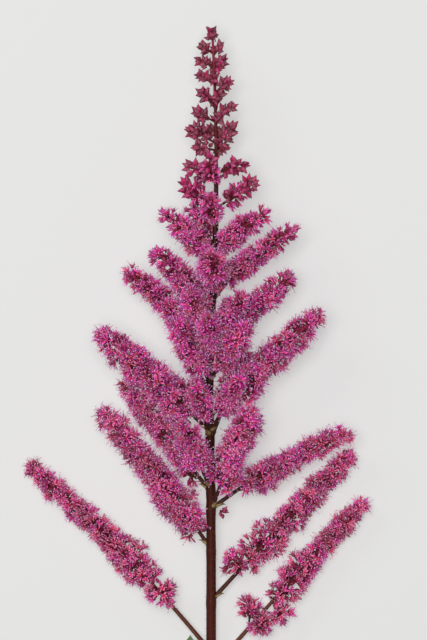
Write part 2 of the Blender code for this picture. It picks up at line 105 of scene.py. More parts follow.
# the upper sprays have thinner stalks
longSprays = [spray for spray in sprays if not spray["name"].startswith("upper")]

# name, the spray that carries it, share of that spray's path, centre (x, height, z), radius
bunchKeys = ("name", "carrier", "share", "centre", "radius")
bunchRows = (
    ("left_1", "left_1", 0.28, (-17.4, 69.9, 10.6), 4.7),
    ("left_3", "left_3", 0.12, (-8.2, 111.0, 5.6), 3.3),
    ("right_1a", "right_1", 0.25, (13.7, 64.0, 4.8), 3.6),
    ("right_1b", "right_1", 0.28, (18.0, 58.7, 9.8), 3.6),
    ("right_1c", "right_1", 0.34, (25.2, 61.9, 4.8), 3.5),
    ("right_2", "right_2", 0.20, (8.4, 80.8, 9.2), 3.8),
    ("right_3", "right_3", 0.21, (20.0, 106.6, 8.8), 2.3),
)
sideBunches = [dict(zip(bunchKeys, row)) for row in bunchRows]

# the tip's bunches: root height, centre (x, height, z over the axis), radius
tipFrom = 222.0
tipBunches = (
    (262.0, (0.4, 264.5, 0.3), 2.4), (258.0, (-2.1, 260.1, 0.6), 2.1), (257.4, (2.7, 259.9, -0.6), 2.1),
    (253.2, (-2.7, 255.3, -0.2), 2.3), (252.6, (3.3, 254.9, 1.0), 2.4), (248.0, (-2.6, 250.1, 1.0), 2.3),
    (247.0, (0.7, 249.1, 2.6), 2.0), (244.4, (4.8, 247.3, -0.4), 2.5), (240.8, (-2.4, 243.7, 1.2), 2.6),
    (240.4, (2.4, 242.7, 1.6), 2.4), (234.2, (-3.6, 236.9, 0.2), 2.7), (236.2, (5.7, 238.9, -1.0), 2.5),
    (233.0, (3.1, 235.9, 2.6), 2.3), (226.8, (-4.5, 230.3, 0.4), 3.7), (226.2, (5.3, 230.1, -0.6), 3.8),
    (224.4, (-2.9, 225.1, 2.6), 3.0), (252.0, (0.6, 253.7, -2.8), 2.0), (240.0, (1.1, 241.9, -3.0), 2.2),
    (228.6, (0.6, 231.1, -4.4), 2.7), (224.4, (3.1, 225.5, -2.6), 2.8),
)

stemTop = plant["stations"][-1][0]


def smoothStep(value, low, high):
    share = min(1.0, max(0.0, (value - low) / (high - low)))
    return share * share * (3 - 2 * share)


def stemAt(height):  # centre and radius of the main stem at a height
    rows = plant["stations"]
    for (low, driftLow, radiusLow), (high, driftHigh, radiusHigh) in zip(rows, rows[1:]):
        if height <= high:
            break
    share = min(1.0, max(0.0, (height - low) / (high - low)))
    rise = plant["lift"] * smoothStep(height, plant["liftFrom"], plant["liftTo"])
    centre = Vector((driftLow + (driftHigh - driftLow) * share, height, plant["axisLow"] + rise))
    return centre, radiusLow + (radiusHigh - radiusLow) * share


def bentPath(root, middle, tip):
    def at(share):
        left = 1.0 - share
        return root * left * left + middle * 2.0 * left * share + tip * share * share
    return at


def sprayPath(spray):
    x, height, z = spray["tip"]
    root = stemAt(spray["root"])[0]
    lies = z is lying
    tip = Vector((x, height, spray["base"] * plant["pressed"] if lies else z))
    across = Vector((tip.y - root.y, root.x - tip.x, 0.0)).normalized()
    middle = (root + tip) / 2 + across * spray["bow"]
    middle.z = tip.z if lies else root.z + (tip.z - root.z) * plant["middleRise"]
    return bentPath(root, middle, tip)


def bunchPath(root, centre, radius):
    reach = (centre - root).length
    tip = centre + (centre - root).normalized() * radius
    return bentPath(root, (root + tip) / 2, tip), max(0.12, (reach - radius) / (reach + radius))


def pathLength(path, low=0.0, high=1.0, steps=24):
    points = [path(low + (high - low) * i / steps) for i in range(steps + 1)]
    return sum((b - a).length for a, b in zip(points, points[1:]))


def inPlace(point):  # from the plant's millimetres to the row frame's metres
    return Vector((point.x + plant["foot"][0], point.y + plant["foot"][1], point.z)) * mm


def sideBunchPath(bunch):
    return bunchPath(paths[bunch["carrier"]](bunch["share"]), Vector(bunch["centre"]), bunch["radius"])


paths = {spray["name"]: sprayPath(spray) for spray in sprays}


# Small helpers for node trees

def put(tree, kind, values=None, **settings):  # adds a node, sets it, and links or fills its sockets
    node = tree.nodes.new(kind)
    for key, value in settings.items():
        setattr(node, key, value)
    for key, value in (values or {}).items():
        if isinstance(value, bpy.types.NodeSocket):
            tree.links.new(value, node.inputs[key])
        else:
            node.inputs[key].default_value = value
    return node


def math2(tree, operation, first, second=0.0, third=0.0):
    return put(tree, "ShaderNodeMath", {0: first, 1: second, 2: third}, operation=operation).outputs[0]


def plus(tree, first, second):
    return math2(tree, "ADD", first, second)


def minus(tree, first, second):
    return math2(tree, "SUBTRACT", first, second)


def times(tree, first, second):
    return math2(tree, "MULTIPLY", first, second)


def attributeFactor(tree, name):
    return put(tree, "ShaderNodeAttribute", attribute_name=name).outputs["Fac"]


def blend(tree, factor, first, second):
    return put(tree, "ShaderNodeMix", {0: factor, 6: first, 7: second}, data_type="RGBA").outputs[2]


def mapped(tree, value, low, high, atLow, atHigh, shape="LINEAR"):
    return put(tree, "ShaderNodeMapRange", {0: value, 1: low, 2: high, 3: atLow, 4: atHigh},
               interpolation_type=shape).outputs[0]


def vec2(tree, operation, first, second=(0, 0, 0)):
    node = put(tree, "ShaderNodeVectorMath", {0: first, 1: second}, operation=operation)
    return node.outputs[1] if operation in ("LENGTH", "DOT_PRODUCT") else node.outputs[0]


def vectorSum(tree, first, second):
    return vec2(tree, "ADD", first, second)


def scaled(tree, vector, amount):
    return put(tree, "ShaderNodeVectorMath", {0: vector, 3: amount}, operation="SCALE").outputs[0]


def randomFloat(tree, low, high, number, seed):
    node = put(tree, "FunctionNodeRandomValue", {2: low, 3: high, 7: number, 8: seed}, data_type="FLOAT")
    return node.outputs[1]


def randomVector(tree, reach, number, seed):
    node = put(tree, "FunctionNodeRandomValue", {0: [-r for r in reach], 1: reach, 7: number, 8: seed},
               data_type="FLOAT_VECTOR")
    return node.outputs[0]


def shapeOf(tree, thing):
    return put(tree, "GeometryNodeObjectInfo", {"Object": thing}).outputs["Geometry"]


def planted(tree, points, instance, rotation, size, **values):
    return put(tree, "GeometryNodeInstanceOnPoints", dict(
        values, Points=points, Instance=instance, Rotation=rotation, Scale=size)).outputs[0]


def moved(tree, geometry, **values):
    return put(tree, "GeometryNodeSetPosition", dict(values, Geometry=geometry)).outputs[0]


def isNumber(tree, value, number):
    return put(tree, "FunctionNodeCompare", {0: value, 1: float(number), "Epsilon": 0.1},
               data_type="FLOAT", operation="EQUAL").outputs[0]


def joined(tree, parts):
    node = put(tree, "GeometryNodeJoinGeometry")
    for part in parts:
        tree.links.new(part, node.inputs[0])
    return node.outputs[0]


def named(tree, name, kind="FLOAT"):
    return put(tree, "GeometryNodeInputNamedAttribute", {"Name": name}, data_type=kind).outputs[0]


def stored(tree, geometry, name, value, kind="FLOAT", domain="POINT"):
    node = put(tree, "GeometryNodeStoreNamedAttribute", {"Geometry": geometry, "Name": name},
               data_type=kind, domain=domain)
    target = node.inputs["Value"]
    if isinstance(value, bpy.types.NodeSocket):
        tree.links.new(value, target)
    else:
        target.default_value = value
    return node.outputs[0]


def newTree(kind, name, inputs, outputs=(("Geometry", "Geometry"),)):  # kind is Geometry or Shader
    tree = bpy.data.node_groups.new(name, kind + "NodeTree")
    for label, socketKind, value in inputs:
        socket = tree.interface.new_socket(label, in_out="INPUT", socket_type="NodeSocket" + socketKind)
        if value is not None:
            socket.default_value = value
    for label, socketKind in outputs:
        tree.interface.new_socket(label, in_out="OUTPUT", socket_type="NodeSocket" + socketKind)
    return tree, tree.nodes.new("NodeGroupInput"), tree.nodes.new("NodeGroupOutput")


def setInput(modifier, label, value):  # by the socket's identifier
    for item in modifier.node_group.interface.items_tree:
        if item.item_type == "SOCKET" and item.in_out == "INPUT" and item.name == label:
            modifier[item.identifier] = value
            return
    raise KeyError(label)


def newObject(name, data):
    made = bpy.data.objects.new(name, data)
    bpy.context.scene.collection.objects.link(made)
    return made


def pointValues(mesh, values):
    for name, numbers in values.items():
        mesh.attributes.new(name, "FLOAT", "POINT").data.foreach_set("value", numbers)


def frozen(holder, name, tree, values):  # what a node tree makes of an object, as a plain mesh object
    modifier = holder.modifiers.new(name, "NODES")
    modifier.node_group = tree
    for label, value in values.items():
        setInput(modifier, label, value)
    bpy.context.view_layer.update()
    mesh = bpy.data.meshes.new_from_object(holder.evaluated_get(bpy.context.evaluated_depsgraph_get()))
    holder.modifiers.clear()
    bpy.data.objects.remove(holder)
    mesh.name = name
    return newObject(name, mesh)


# Organs: the small shapes that the florets are put together from.
# "kind" picks the finish, "along" runs from root to tip, "across" from side to side.

kinds = ("petal", "filament", "anther", "carpel", "bud", "calyx", "twig")
organSizes = {
    "petal": {"length": 2.7, "radius": 0.46, "flat": 0.30, "curl": 0.60},
    "filament": {"length": 3.2, "radius": 0.095},
    "anther": {"length": 0.50, "radius": 0.21},
    "carpel": {"length": 1.7, "radius": 0.38},
    "bud": {"length": 2.25, "radius": 0.92},
    "smallBud": {"length": 2.25, "radius": 0.92},  # fills in between, drawn thinner than a bud
    "calyx": {"length": 1.0, "radius": 0.50},
    "twig": {"length": 2.4, "radius": 0.20},
}


def loft(name, kind, rings, sides, foot=None, head=None, flat=1.0, ridge=0.0, turn=0.0):
    # rings are (height, radius, lean outwards); a foot or head closes the shape in a point
    points, along, across, faces = [], [], [], []
    low = foot[0] if foot else rings[0][0]
    high = head[0] if head else rings[-1][0]
    for height, radius, lean in rings:
        for i in range(sides):
            angle = 2 * math.pi * i / sides + turn
            r = radius * (1.0 + (ridge if i % 2 else 0.0))
            points.append((r * math.cos(angle), r * flat * math.sin(angle) - lean, height))
            along.append((height - low) / (high - low))
            across.append(math.cos(angle))
    for ring in range(len(rings) - 1):
        for i in range(sides):
            a, b = ring * sides + i, ring * sides + (i + 1) % sides
            faces.append((a, b, b + sides, a + sides))
    for end, start, step in ((foot, 0, -1), (head, (len(rings) - 1) * sides, 1)):
        if end:
            points.append((0, -end[1], end[0]))
            along.append((end[0] - low) / (high - low))
            across.append(0.0)
            for i in range(sides):
                pair = (start + i, start + (i + 1) % sides)
                faces.append((len(points) - 1,) + pair[::step])
    mesh = bpy.data.meshes.new(name)
    mesh.from_pydata([Vector(p) * mm for p in points], [], faces)
    pointValues(mesh, {"kind": [float(kinds.index(kind))] * len(points), "along": along, "across": across})
    mesh.shade_smooth()
    return newObject(name, mesh)


def makeOrgans():
    def organ(name, rings, sides, foot, head, lean=0.0, kind=None, **extra):
        # ring heights, foot and head are shares of the length, ring radii are shares of the radius
        length, radius = organSizes[name]["length"], organSizes[name]["radius"]
        rings = [(length * height, radius * width, ringLean) for height, width, ringLean in rings]
        return loft(name + "Shape", kind or name, rings, sides, foot=(length * foot, 0.0),
                    head=(length * head, lean), **extra)

    petal, anther, reach = organSizes["petal"], organSizes["anther"], organSizes["filament"]["length"]
    curl, half = petal["curl"], anther["length"] / 2
    return {
        "petal": organ("petal", ((0.30, 0.55, curl * 0.08), (0.74, 1.0, curl * 0.45)), 3, 0.0, 1.0, curl,
                       flat=petal["flat"], turn=math.pi / 2),
        "filament": organ("filament", ((0.12, 1.0, 0.0), (0.80, 0.85, 0.12)), 3, 0.0, 1.0, 0.28),
        "anther": loft("antherShape", "anther", [(reach, anther["radius"], 0.29)], 4,
                       foot=(reach - half, 0.25), head=(reach + half, 0.33)),
        "carpel": organ("carpel", ((0.35, 1.0, 0.05), (0.75, 0.45, 0.22)), 4, 0.0, 1.0, 0.40),
        "bud": organ("bud", ((0.06, 0.55, 0.0), (0.34, 1.0, 0.0), (0.68, 0.56, 0.0)), 10, -0.04, 1.14,
                     ridge=-0.22),
        "smallBud": organ("smallBud", ((0.25, 0.70, 0.0), (0.60, 0.62, 0.0)), 5, 0.0, 0.95, kind="bud"),
        "calyx": organ("calyx", ((0.5, 1.0, 0.0),), 5, -0.4, 0.9),
        "twig": organ("twig", ((-0.45, 1.0, 0.0),), 3, -1.0, 0.1),
    }


# One floret as a group: petals and stamens stand in rings round two carpels in their calyx

floretLook = {
    "petals": (0.22, 0.25, 0.25),  # how much tilt, turn and size differ round a ring
    "stamens": (0.28, 0.35, 0.35),
    "carpels": (0.04, 0.3, 0.1), "carpelCount": 2, "carpelTilt": 0.12,
}


def makeFloretTree(organs):
    tree, given, made = newTree("Geometry", "floret", (
        ("Petals", "Int", 5), ("Petal Tilt", "Float", 0.8), ("Petal Scale", "Float", 1.0),
        ("Stamens", "Int", 8), ("Stamen Tilt", "Float", 0.5), ("Stamen Scale", "Float", 1.0),
        ("Carpel Scale", "Float", 1.0), ("Seed", "Int", 0),
    ))
    index = put(tree, "GeometryNodeInputIndex").outputs[0]
    ask, look = given.outputs, floretLook

    def shape(name):
        return shapeOf(tree, organs[name])

    def ring(count, instance, tilt, size, spreads, salt):
        tiltSpread, turnSpread, sizeSpread = spreads
        seed = plus(tree, ask["Seed"], salt)
        points = put(tree, "GeometryNodePoints", {"Count": count}).outputs[0]
        turn = math2(tree, "DIVIDE", times(tree, index, 2 * math.pi), count)
        turn = plus(tree, turn, randomFloat(tree, -turnSpread, turnSpread, index, seed))
        lean = randomFloat(tree, -tiltSpread, tiltSpread, index, plus(tree, seed, 7))
        angles = put(tree, "ShaderNodeCombineXYZ", {0: plus(tree, tilt, lean), 2: turn}).outputs[0]
        rotation = put(tree, "FunctionNodeEulerToRotation", {0: angles}).outputs[0]
        share = randomFloat(tree, 1 - sizeSpread, 1.0, index, plus(tree, seed, 13))
        return planted(tree, points, instance, rotation, times(tree, size, share))

    stamen = joined(tree, (shape("filament"), shape("anther")))
    petals = ring(ask["Petals"], shape("petal"), ask["Petal Tilt"], ask["Petal Scale"], look["petals"], 1)
    stamens = ring(ask["Stamens"], stamen, ask["Stamen Tilt"], ask["Stamen Scale"], look["stamens"], 2)
    carpels = ring(look["carpelCount"], shape("carpel"), look["carpelTilt"], ask["Carpel Scale"],
                   look["carpels"], 3)
    whole = joined(tree, (petals, stamens, carpels, shape("calyx"), shape("twig")))
    tree.links.new(whole, made.inputs[0])
    return tree


floretKeys = ("Petal Tilt", "Petal Scale", "Stamens", "Stamen Tilt", "Stamen Scale", "Carpel Scale", "Seed")
floretStages = (  # from a flower just opening to one with all its stamens out
    (0.12, 0.72, 3, 0.10, 0.70, 0.80, 11),
    (0.38, 0.90, 5, 0.28, 0.85, 0.95, 23),
    (0.68, 1.00, 7, 0.46, 0.95, 1.00, 37),
    (0.95, 1.00, 7, 0.62, 1.00, 1.10, 51),
)


# A spray: florets in little bunches that turn round the spray's axis by the golden angle.
# The holder's lines carry what changes along them: share of the way to the tip, reach of the florets
# (0 where the stalk is bare), lobed, opened, and axis, its thickness. Sizes here are in metres.

sprayRules = {
    "goldenAngle": 2.39996, "turnSpread": 0.4,
    "bendFrom": 0.84, "bend": 1.6,  # past this share bunches lean more and more towards the tip
    "lobeScale": 170.0, "lobeEdges": (0.33, 0.60), "lobeMiddle": 0.55, "fullness": 1.08,
    "leastRoom": 0.0002, "looseSpread": 1.6, "shake": 0.25, "mostInBunch": 16.0,
    "standSpread": (0.72, 1.08), "outShare": 0.30,  # how much of a floret's stand is its bunch's way out
    "openSpread": (-0.18, 0.12), "sizeSpread": (0.84, 1.12),
    # the last entry on the next line lowers the tint of the small filling buds: painted shade between the
    # florets
    "fillStand": (0.15, 0.75), "fillShake": 0.0009, "fillSize": (0.8, 1.2), "fillShadeTint": 0.35,
    "axisSides": 6, "turned": 0.22, "turnedByAge": 0.50,
}
surfaceGap = 0.0001


def pressedFlat(tree, mesh):
    # what lies on the surface doesn't reach into it
    place = put(tree, "GeometryNodeInputPosition").outputs[0]
    parts = put(tree, "ShaderNodeSeparateXYZ", {0: place}).outputs
    height = math2(tree, "MAXIMUM", parts[2], surfaceGap)
    place = put(tree, "ShaderNodeCombineXYZ", {0: parts[0], 1: parts[1], 2: height}).outputs[0]
    return moved(tree, mesh, Position=place)


def makeSprayTree(organs, materials):
    tree, given, made = newTree("Geometry", "floretSpray", (
        ("Geometry", "Geometry", None),
        ("Bunch Pitch", "Float", 0.00115),  # metres along the axis from bunch to bunch
        ("Florets Per Reach", "Float", 760.0),  # in a bunch, for each metre of its reach
        ("Floret Size", "Float", 1.14),
        ("Floret Depth", "Float", 0.0020),
        ("Lean", "Float", 0.35),
        ("Looseness", "Float", 0.15),
        ("Filler", "Float", 1.0),
        ("Age", "Float", 0.0),
        ("Ripeness", "Float", 1.0),
        ("Seed", "Int", 1),
    ))
    floret = makeFloretTree(organs)
    ask, rules = given.outputs, sprayRules
    seed = ask["Seed"]
    index = put(tree, "GeometryNodeInputIndex").outputs[0]

    def salted(number):
        return plus(tree, seed, number)

    curve = put(tree, "GeometryNodeMeshToCurve", {"Mesh": ask["Geometry"]}).outputs[0]
    walk = put(tree, "GeometryNodeCurveToPoints", {
        "Curve": curve, "Length": ask["Bunch Pitch"]}, mode="LENGTH")
    tangent, normal = walk.outputs["Tangent"], walk.outputs["Normal"]
    bunches = stored(tree, walk.outputs["Points"], "bunch", index, "INT")
    bunch = named(tree, "bunch", "INT")
    share, reach, lobed = (named(tree, n) for n in ("share", "reach", "lobed"))

    # each bunch's way out from the axis, bent towards the tip
    angle = plus(tree, times(tree, bunch, rules["goldenAngle"]),
                 randomFloat(tree, -rules["turnSpread"], rules["turnSpread"], bunch, seed))
    radial = put(tree, "ShaderNodeVectorRotate", {"Vector": normal, "Axis": tangent, "Angle": angle},
                 rotation_type="AXIS_ANGLE").outputs[0]
    toTip = mapped(tree, share, rules["bendFrom"], 1.0, 0.0, rules["bend"], "SMOOTHSTEP")
    forward = plus(tree, ask["Lean"], toTip)
    outward = vec2(tree, "NORMALIZE", vectorSum(tree, radial, scaled(tree, tangent, forward)))
    # bunches that lie together are long or short together, which makes the lobes
    here = put(tree, "GeometryNodeInputPosition").outputs[0]
    rimPlace = vectorSum(tree, here, scaled(tree, outward, reach))
    lump = put(tree, "ShaderNodeTexNoise", {
        "Vector": rimPlace, "Scale": rules["lobeScale"], "Detail": 0.0}).outputs[0]
    lump = mapped(tree, lump, *rules["lobeEdges"], 1.0, 0.0)
    lobeSize = minus(tree, rules["lobeMiddle"], lump)
    lobeSize = plus(tree, rules["fullness"], times(tree, lobed, lobeSize))
    room = minus(tree, times(tree, reach, lobeSize), ask["Floret Depth"])
    room = math2(tree, "MAXIMUM", room, rules["leastRoom"])

    # florets in a bunch fan out round that way
    count = math2(tree, "ROUND", times(tree, reach, ask["Florets Per Reach"]))
    fan = put(tree, "GeometryNodeDuplicateElements", {"Geometry": bunches, "Amount": count}, domain="POINT")
    copy = fan.outputs["Duplicate Index"]
    number = plus(tree, times(tree, bunch, rules["mostInBunch"]), copy)  # tells florets apart
    spin = randomFloat(tree, 0.0, 6.28, bunch, salted(3))
    spin = plus(tree, times(tree, copy, rules["goldenAngle"]), spin)
    wide = math2(tree, "SQRT", math2(tree, "DIVIDE", plus(tree, copy, 0.4), count))
    side = vec2(tree, "NORMALIZE", vec2(tree, "CROSS_PRODUCT", tangent, outward))
    ahead = vec2(tree, "CROSS_PRODUCT", outward, side)
    spread = vectorSum(tree, scaled(tree, side, math2(tree, "COSINE", spin)),
                       scaled(tree, ahead, math2(tree, "SINE", spin)))
    shake = randomVector(tree, (rules["shake"],) * 3, number, seed)
    way = vectorSum(tree, vectorSum(tree, outward, scaled(tree, spread, wide)), shake)
    way = vec2(tree, "NORMALIZE", way)
    loose = randomFloat(tree, 0.0, rules["looseSpread"], bunch, salted(5))
    bunchSize = minus(tree, 1.0, times(tree, ask["Looseness"], loose))
    stand = times(tree, times(tree, room, bunchSize), randomFloat(tree, *rules["standSpread"], number, seed))
    foot = vectorSum(tree, scaled(tree, outward, times(tree, stand, rules["outShare"])),
                     scaled(tree, way, times(tree, stand, 1 - rules["outShare"])))

    facing = put(tree, "FunctionNodeAlignRotationToVector", {"Vector": way}, axis="Z").outputs[0]
    twist = put(tree, "FunctionNodeAxisAngleToRotation", {
        "Axis": (0, 0, 1), "Angle": randomFloat(tree, 0.0, 6.28, number, salted(9))}).outputs[0]
    facing = put(tree, "FunctionNodeRotateRotation", {0: facing, 1: twist},
                 rotation_space="LOCAL").outputs[0]
    opened = plus(tree, named(tree, "opened"), randomFloat(tree, *rules["openSpread"], number, seed))
    stage = math2(tree, "FLOOR", times(tree, opened, len(floretStages) + 1.0))
    stage = math2(tree, "MINIMUM", math2(tree, "MAXIMUM", stage, 0.0), float(len(floretStages)))
    size = times(tree, randomFloat(tree, *rules["sizeSpread"], number, salted(4)), ask["Floret Size"])

    stages = [shapeOf(tree, organs["bud"])]
    for values in floretStages:
        sizes = dict(zip(floretKeys, values))
        stages.append(put(tree, "GeometryNodeGroup", sizes, node_tree=floret).outputs[0])
    singles = [put(tree, "GeometryNodeGeometryToInstance", {0: geometry}).outputs[0]
               for geometry in reversed(stages)]  # the link made last comes first
    florets = planted(tree, moved(tree, fan.outputs[0], Offset=foot), joined(tree, singles), facing, size,
                      **{"Pick Instance": True, "Instance Index": stage})
    tint = randomFloat(tree, 0.0, 1.0, number, salted(21))
    florets = stored(tree, florets, "tint", tint, "FLOAT", "INSTANCE")

    # small buds fill in between; their tint is lowered, which darkens them as painted shade deep between the
    # florets
    fillFoot = times(tree, stand, randomFloat(tree, *rules["fillStand"], number, salted(13)))
    fillShake = randomVector(tree, (rules["fillShake"],) * 3, number, salted(31))
    filled = moved(tree, fan.outputs[0], Offset=vectorSum(tree, scaled(tree, way, fillFoot), fillShake))
    fillSize = times(tree, ask["Filler"], randomFloat(tree, *rules["fillSize"], number, salted(17)))
    fill = planted(tree, filled, shapeOf(tree, organs["smallBud"]), facing, fillSize)
    fill = stored(tree, fill, "tint", times(tree, tint, rules["fillShadeTint"]), "FLOAT", "INSTANCE")

    # the spray's own axis
    circle = put(tree, "GeometryNodeCurvePrimitiveCircle", {
        "Resolution": rules["axisSides"], "Radius": 1.0}).outputs[0]
    axis = put(tree, "GeometryNodeCurveToMesh", {
        "Curve": curve, "Profile Curve": circle, "Scale": named(tree, "axis"), "Fill Caps": True}).outputs[0]
    twig = float(kinds.index("twig"))
    for name, value in (("kind", twig), ("along", share), ("tint", 0.5), ("across", 0.0)):
        axis = stored(tree, axis, name, value)

    whole = joined(tree, (florets, fill, axis))
    mesh = pressedFlat(tree, put(tree, "GeometryNodeRealizeInstances", {"Geometry": whole}).outputs[0])
    # how many florets turn to the second set of colours; closed buds turn as they ripen
    turned = plus(tree, rules["turned"], times(tree, ask["Age"], rules["turnedByAge"]))
    turned = put(tree, "GeometryNodeSwitch", {
        0: isNumber(tree, named(tree, "kind"), kinds.index("bud")), 1: turned, 2: ask["Ripeness"]},
        input_type="FLOAT").outputs[0]
    finishSpray(tree, stored(tree, mesh, "turned", turned), made, materials)
    return tree


def finishInKinds(tree, mesh, kind, materials, made):
    for number, material in enumerate(materials):
        mesh = put(tree, "GeometryNodeSetMaterial", {
            "Geometry": mesh, "Selection": isNumber(tree, kind, number), "Material": material}).outputs[0]
    tree.links.new(mesh, made.inputs[0])


def finishSpray(tree, mesh, made, materials):
    # a map with a column for each kind and tone, so that faces of one colour share a place on it
    kind, tint = named(tree, "kind"), named(tree, "tint")
    column = plus(tree, times(tree, tint, 0.82), 0.09)
    column = plus(tree, column, times(tree, named(tree, "across"), 0.03))
    column = math2(tree, "DIVIDE", plus(tree, kind, column), float(len(kinds)))
    row = plus(tree, times(tree, named(tree, "along"), 0.94), 0.03)
    place = put(tree, "ShaderNodeCombineXYZ", {0: column, 1: row}).outputs[0]
    mesh = stored(tree, mesh, "OFBake", place, "FLOAT2", "CORNER")
    finishInKinds(tree, mesh, kind, [materials[name] for name in kinds], made)


def linesHolder(name, lines):
    # one object with a polyline for each entry: points and what they carry
    points, edges, values = [], [], {}
    for placed, carried in lines:
        start = len(points)
        points += [inPlace(p) for p in placed]
        edges += [(start + i, start + i + 1) for i in range(len(placed) - 1)]
        for key, numbers in carried.items():
            values.setdefault(key, []).extend(numbers)
    mesh = bpy.data.meshes.new(name)
    mesh.from_pydata(points, edges, [])
    pointValues(mesh, values)
    return newObject(name, mesh)


sprayShape = {
    "swell": 0.10, "swellFrom": 0.70, "tipGap": 0.85, "steps": 28,
    "axisRadius": 0.5, "coreShare": 0.07,  # the axis, and how much the small twigs thicken it
    "axisTaper": (1.1, 0.6),
    "lobes": (0.41, 0.20), "deepLobes": (0.62, 0.20),  # at the base and the tip
    "deepBelow": 100.0,  # sprays that start at or below this have the deep lobes
}


def sprayLine(path, bare, base, tip, opened, lobes):
    # the line stops short of the tip by most of a floret's reach
    shape = sprayShape
    start = bare + plant["gap"] / pathLength(path)
    end = 1.0 - tip * shape["tipGap"] / pathLength(path)
    shares = [i / shape["steps"] for i in range(shape["steps"] + 1)]
    values = {"share": shares, "reach": [], "opened": [], "lobed": [], "axis": []}
    for s in shares:
        radius = base + (tip - base) * s
        core = shape["axisRadius"] + shape["coreShare"] * radius * min(1.0, 8 * s)
        thick, thin = shape["axisTaper"]
        if s < shape["swell"]:
            swell = shape["swellFrom"]
            radius *= swell + (1 - swell) * math.sin(s / shape["swell"] * math.pi / 2)
        values["reach"].append(radius * mm)
        values["opened"].append(opened[0] + (opened[1] - opened[0]) * s)
        values["lobed"].append(lobes[1] + (lobes[0] - lobes[1]) * (1 - s) ** 1.5)
        values["axis"].append(mm * core * (thick + (thin - thick) * s))
    return [path(start + (end - start) * s) for s in shares], values


# Finishes

palette = {
    # linear colours at the root, in the middle and at the tip; a second set that some florets turn to;
    # how much light and dark florets differ
    "petal": ((0.46, 0.008, 0.105), (0.70, 0.024, 0.285), (0.90, 0.15, 0.58),
              (0.50, 0.020, 0.100), (0.70, 0.050, 0.21), (0.88, 0.26, 0.44), 0.75),
    "filament": ((0.56, 0.045, 0.44), (0.68, 0.10, 0.62), (0.76, 0.23, 0.78),
                 (0.60, 0.070, 0.30), (0.70, 0.16, 0.46), (0.80, 0.32, 0.64), 0.7),
    "anther": ((0.84, 0.30, 0.56), (0.94, 0.56, 0.74), (0.98, 0.84, 0.90),
               (0.74, 0.16, 0.28), (0.90, 0.46, 0.54), (0.97, 0.78, 0.80), 0.5),
    "carpel": ((0.36, 0.005, 0.040), (0.54, 0.012, 0.08), (0.74, 0.15, 0.24),
               (0.28, 0.005, 0.030), (0.50, 0.013, 0.06), (0.76, 0.20, 0.26), 0.8),
    "bud": ((0.23, 0.044, 0.048), (0.24, 0.019, 0.055), (0.37, 0.055, 0.105),
            (0.26, 0.012, 0.045), (0.37, 0.008, 0.090), (0.52, 0.045, 0.21), 0.9),
    "calyx": ((0.15, 0.045, 0.022), (0.25, 0.010, 0.045), (0.36, 0.016, 0.09),
              (0.18, 0.060, 0.026), (0.28, 0.014, 0.045), (0.38, 0.024, 0.08), 0.7),
    "twig": ((0.090, 0.022, 0.014), (0.12, 0.014, 0.022), (0.32, 0.030, 0.070),
             (0.10, 0.030, 0.014), (0.13, 0.016, 0.020), (0.32, 0.034, 0.060), 0.5),
}
# painted highlight: organs are paled towards their sides in the colour itself, standing in for sheen along
# their edges
paintedEdgeHighlight = {"petal": 0.22, "carpel": 0.10, "bud": 0.16, "calyx": 0.10}
edgeHighlightColour = (0.86, 0.62, 0.74, 1)
toneRules = {"shuffle": 3.7, "softness": 0.15, "rootRoughness": 0.66, "smootherTip": 0.14, "specular": 0.08}
toneLabels = ("Root", "Middle", "Tip", "Second Root", "Second Middle", "Second Tip")


def makeToneGroup():
    # colour from root to tip, turned to the second set in some florets, lighter or darker by floret, and
    # paled towards the sides as a painted edge highlight
    inputs = [(label, "Color", None) for label in toneLabels]
    inputs += [("Contrast", "Float", 0.5), ("Painted Edge Highlight", "Float", 0.25)]
    tree, given, made = newTree("Shader", "flowerTone", inputs, (("Color", "Color"), ("Roughness", "Float")))
    along, tint, share, across = (attributeFactor(tree, n) for n in ("along", "tint", "turned", "across"))
    double = times(tree, along, 2.0)
    lower = math2(tree, "MINIMUM", double, 1.0)
    upper = math2(tree, "MAXIMUM", minus(tree, double, 1.0), 0.0)

    def ramp(first):
        root, middle, tip = (given.outputs[first + label] for label in ("Root", "Middle", "Tip"))
        return blend(tree, upper, blend(tree, lower, root, middle), tip)

    tone = math2(tree, "FRACT", times(tree, tint, toneRules["shuffle"]))
    soft = toneRules["softness"]
    turned = mapped(tree, minus(tree, share, tone), -soft, soft, 0.0, 1.0)
    colour = blend(tree, turned, ramp(""), ramp("Second "))
    shade = times(tree, minus(tree, tint, 0.5), given.outputs["Contrast"])
    colour = put(tree, "ShaderNodeHueSaturation", {
        "Value": plus(tree, 1.0, shade), "Color": colour}).outputs[0]
    # painted highlight: the colour turns paler towards the organ's sides
    edge = math2(tree, "POWER", math2(tree, "ABSOLUTE", across), 2.0)
    edge = times(tree, edge, given.outputs["Painted Edge Highlight"])
    tree.links.new(blend(tree, edge, colour, edgeHighlightColour), made.inputs[0])
    roughness = minus(tree, toneRules["rootRoughness"], times(tree, along, toneRules["smootherTip"]))
    tree.links.new(roughness, made.inputs[1])
    return tree


def makeGrainGroup():
    # fine unevenness of a plant's skin, drawn out by Stretch
    tree, given, made = newTree("Shader", "plantGrain", (
        ("Stretch", "Vector", (1.0, 1.0, 1.0)), ("Scale", "Float", 400.0), ("Detail", "Float", 2.0)),
        (("Grain", "Float"),))
    place = put(tree, "ShaderNodeTexCoord").outputs["Object"]
    place = vec2(tree, "MULTIPLY", place, given.outputs["Stretch"])
    noise = put(tree, "ShaderNodeTexNoise", {
        "Vector": place, "Scale": given.outputs["Scale"], "Detail": given.outputs["Detail"]})
    tree.links.new(noise.outputs[0], made.inputs[0])
    return tree


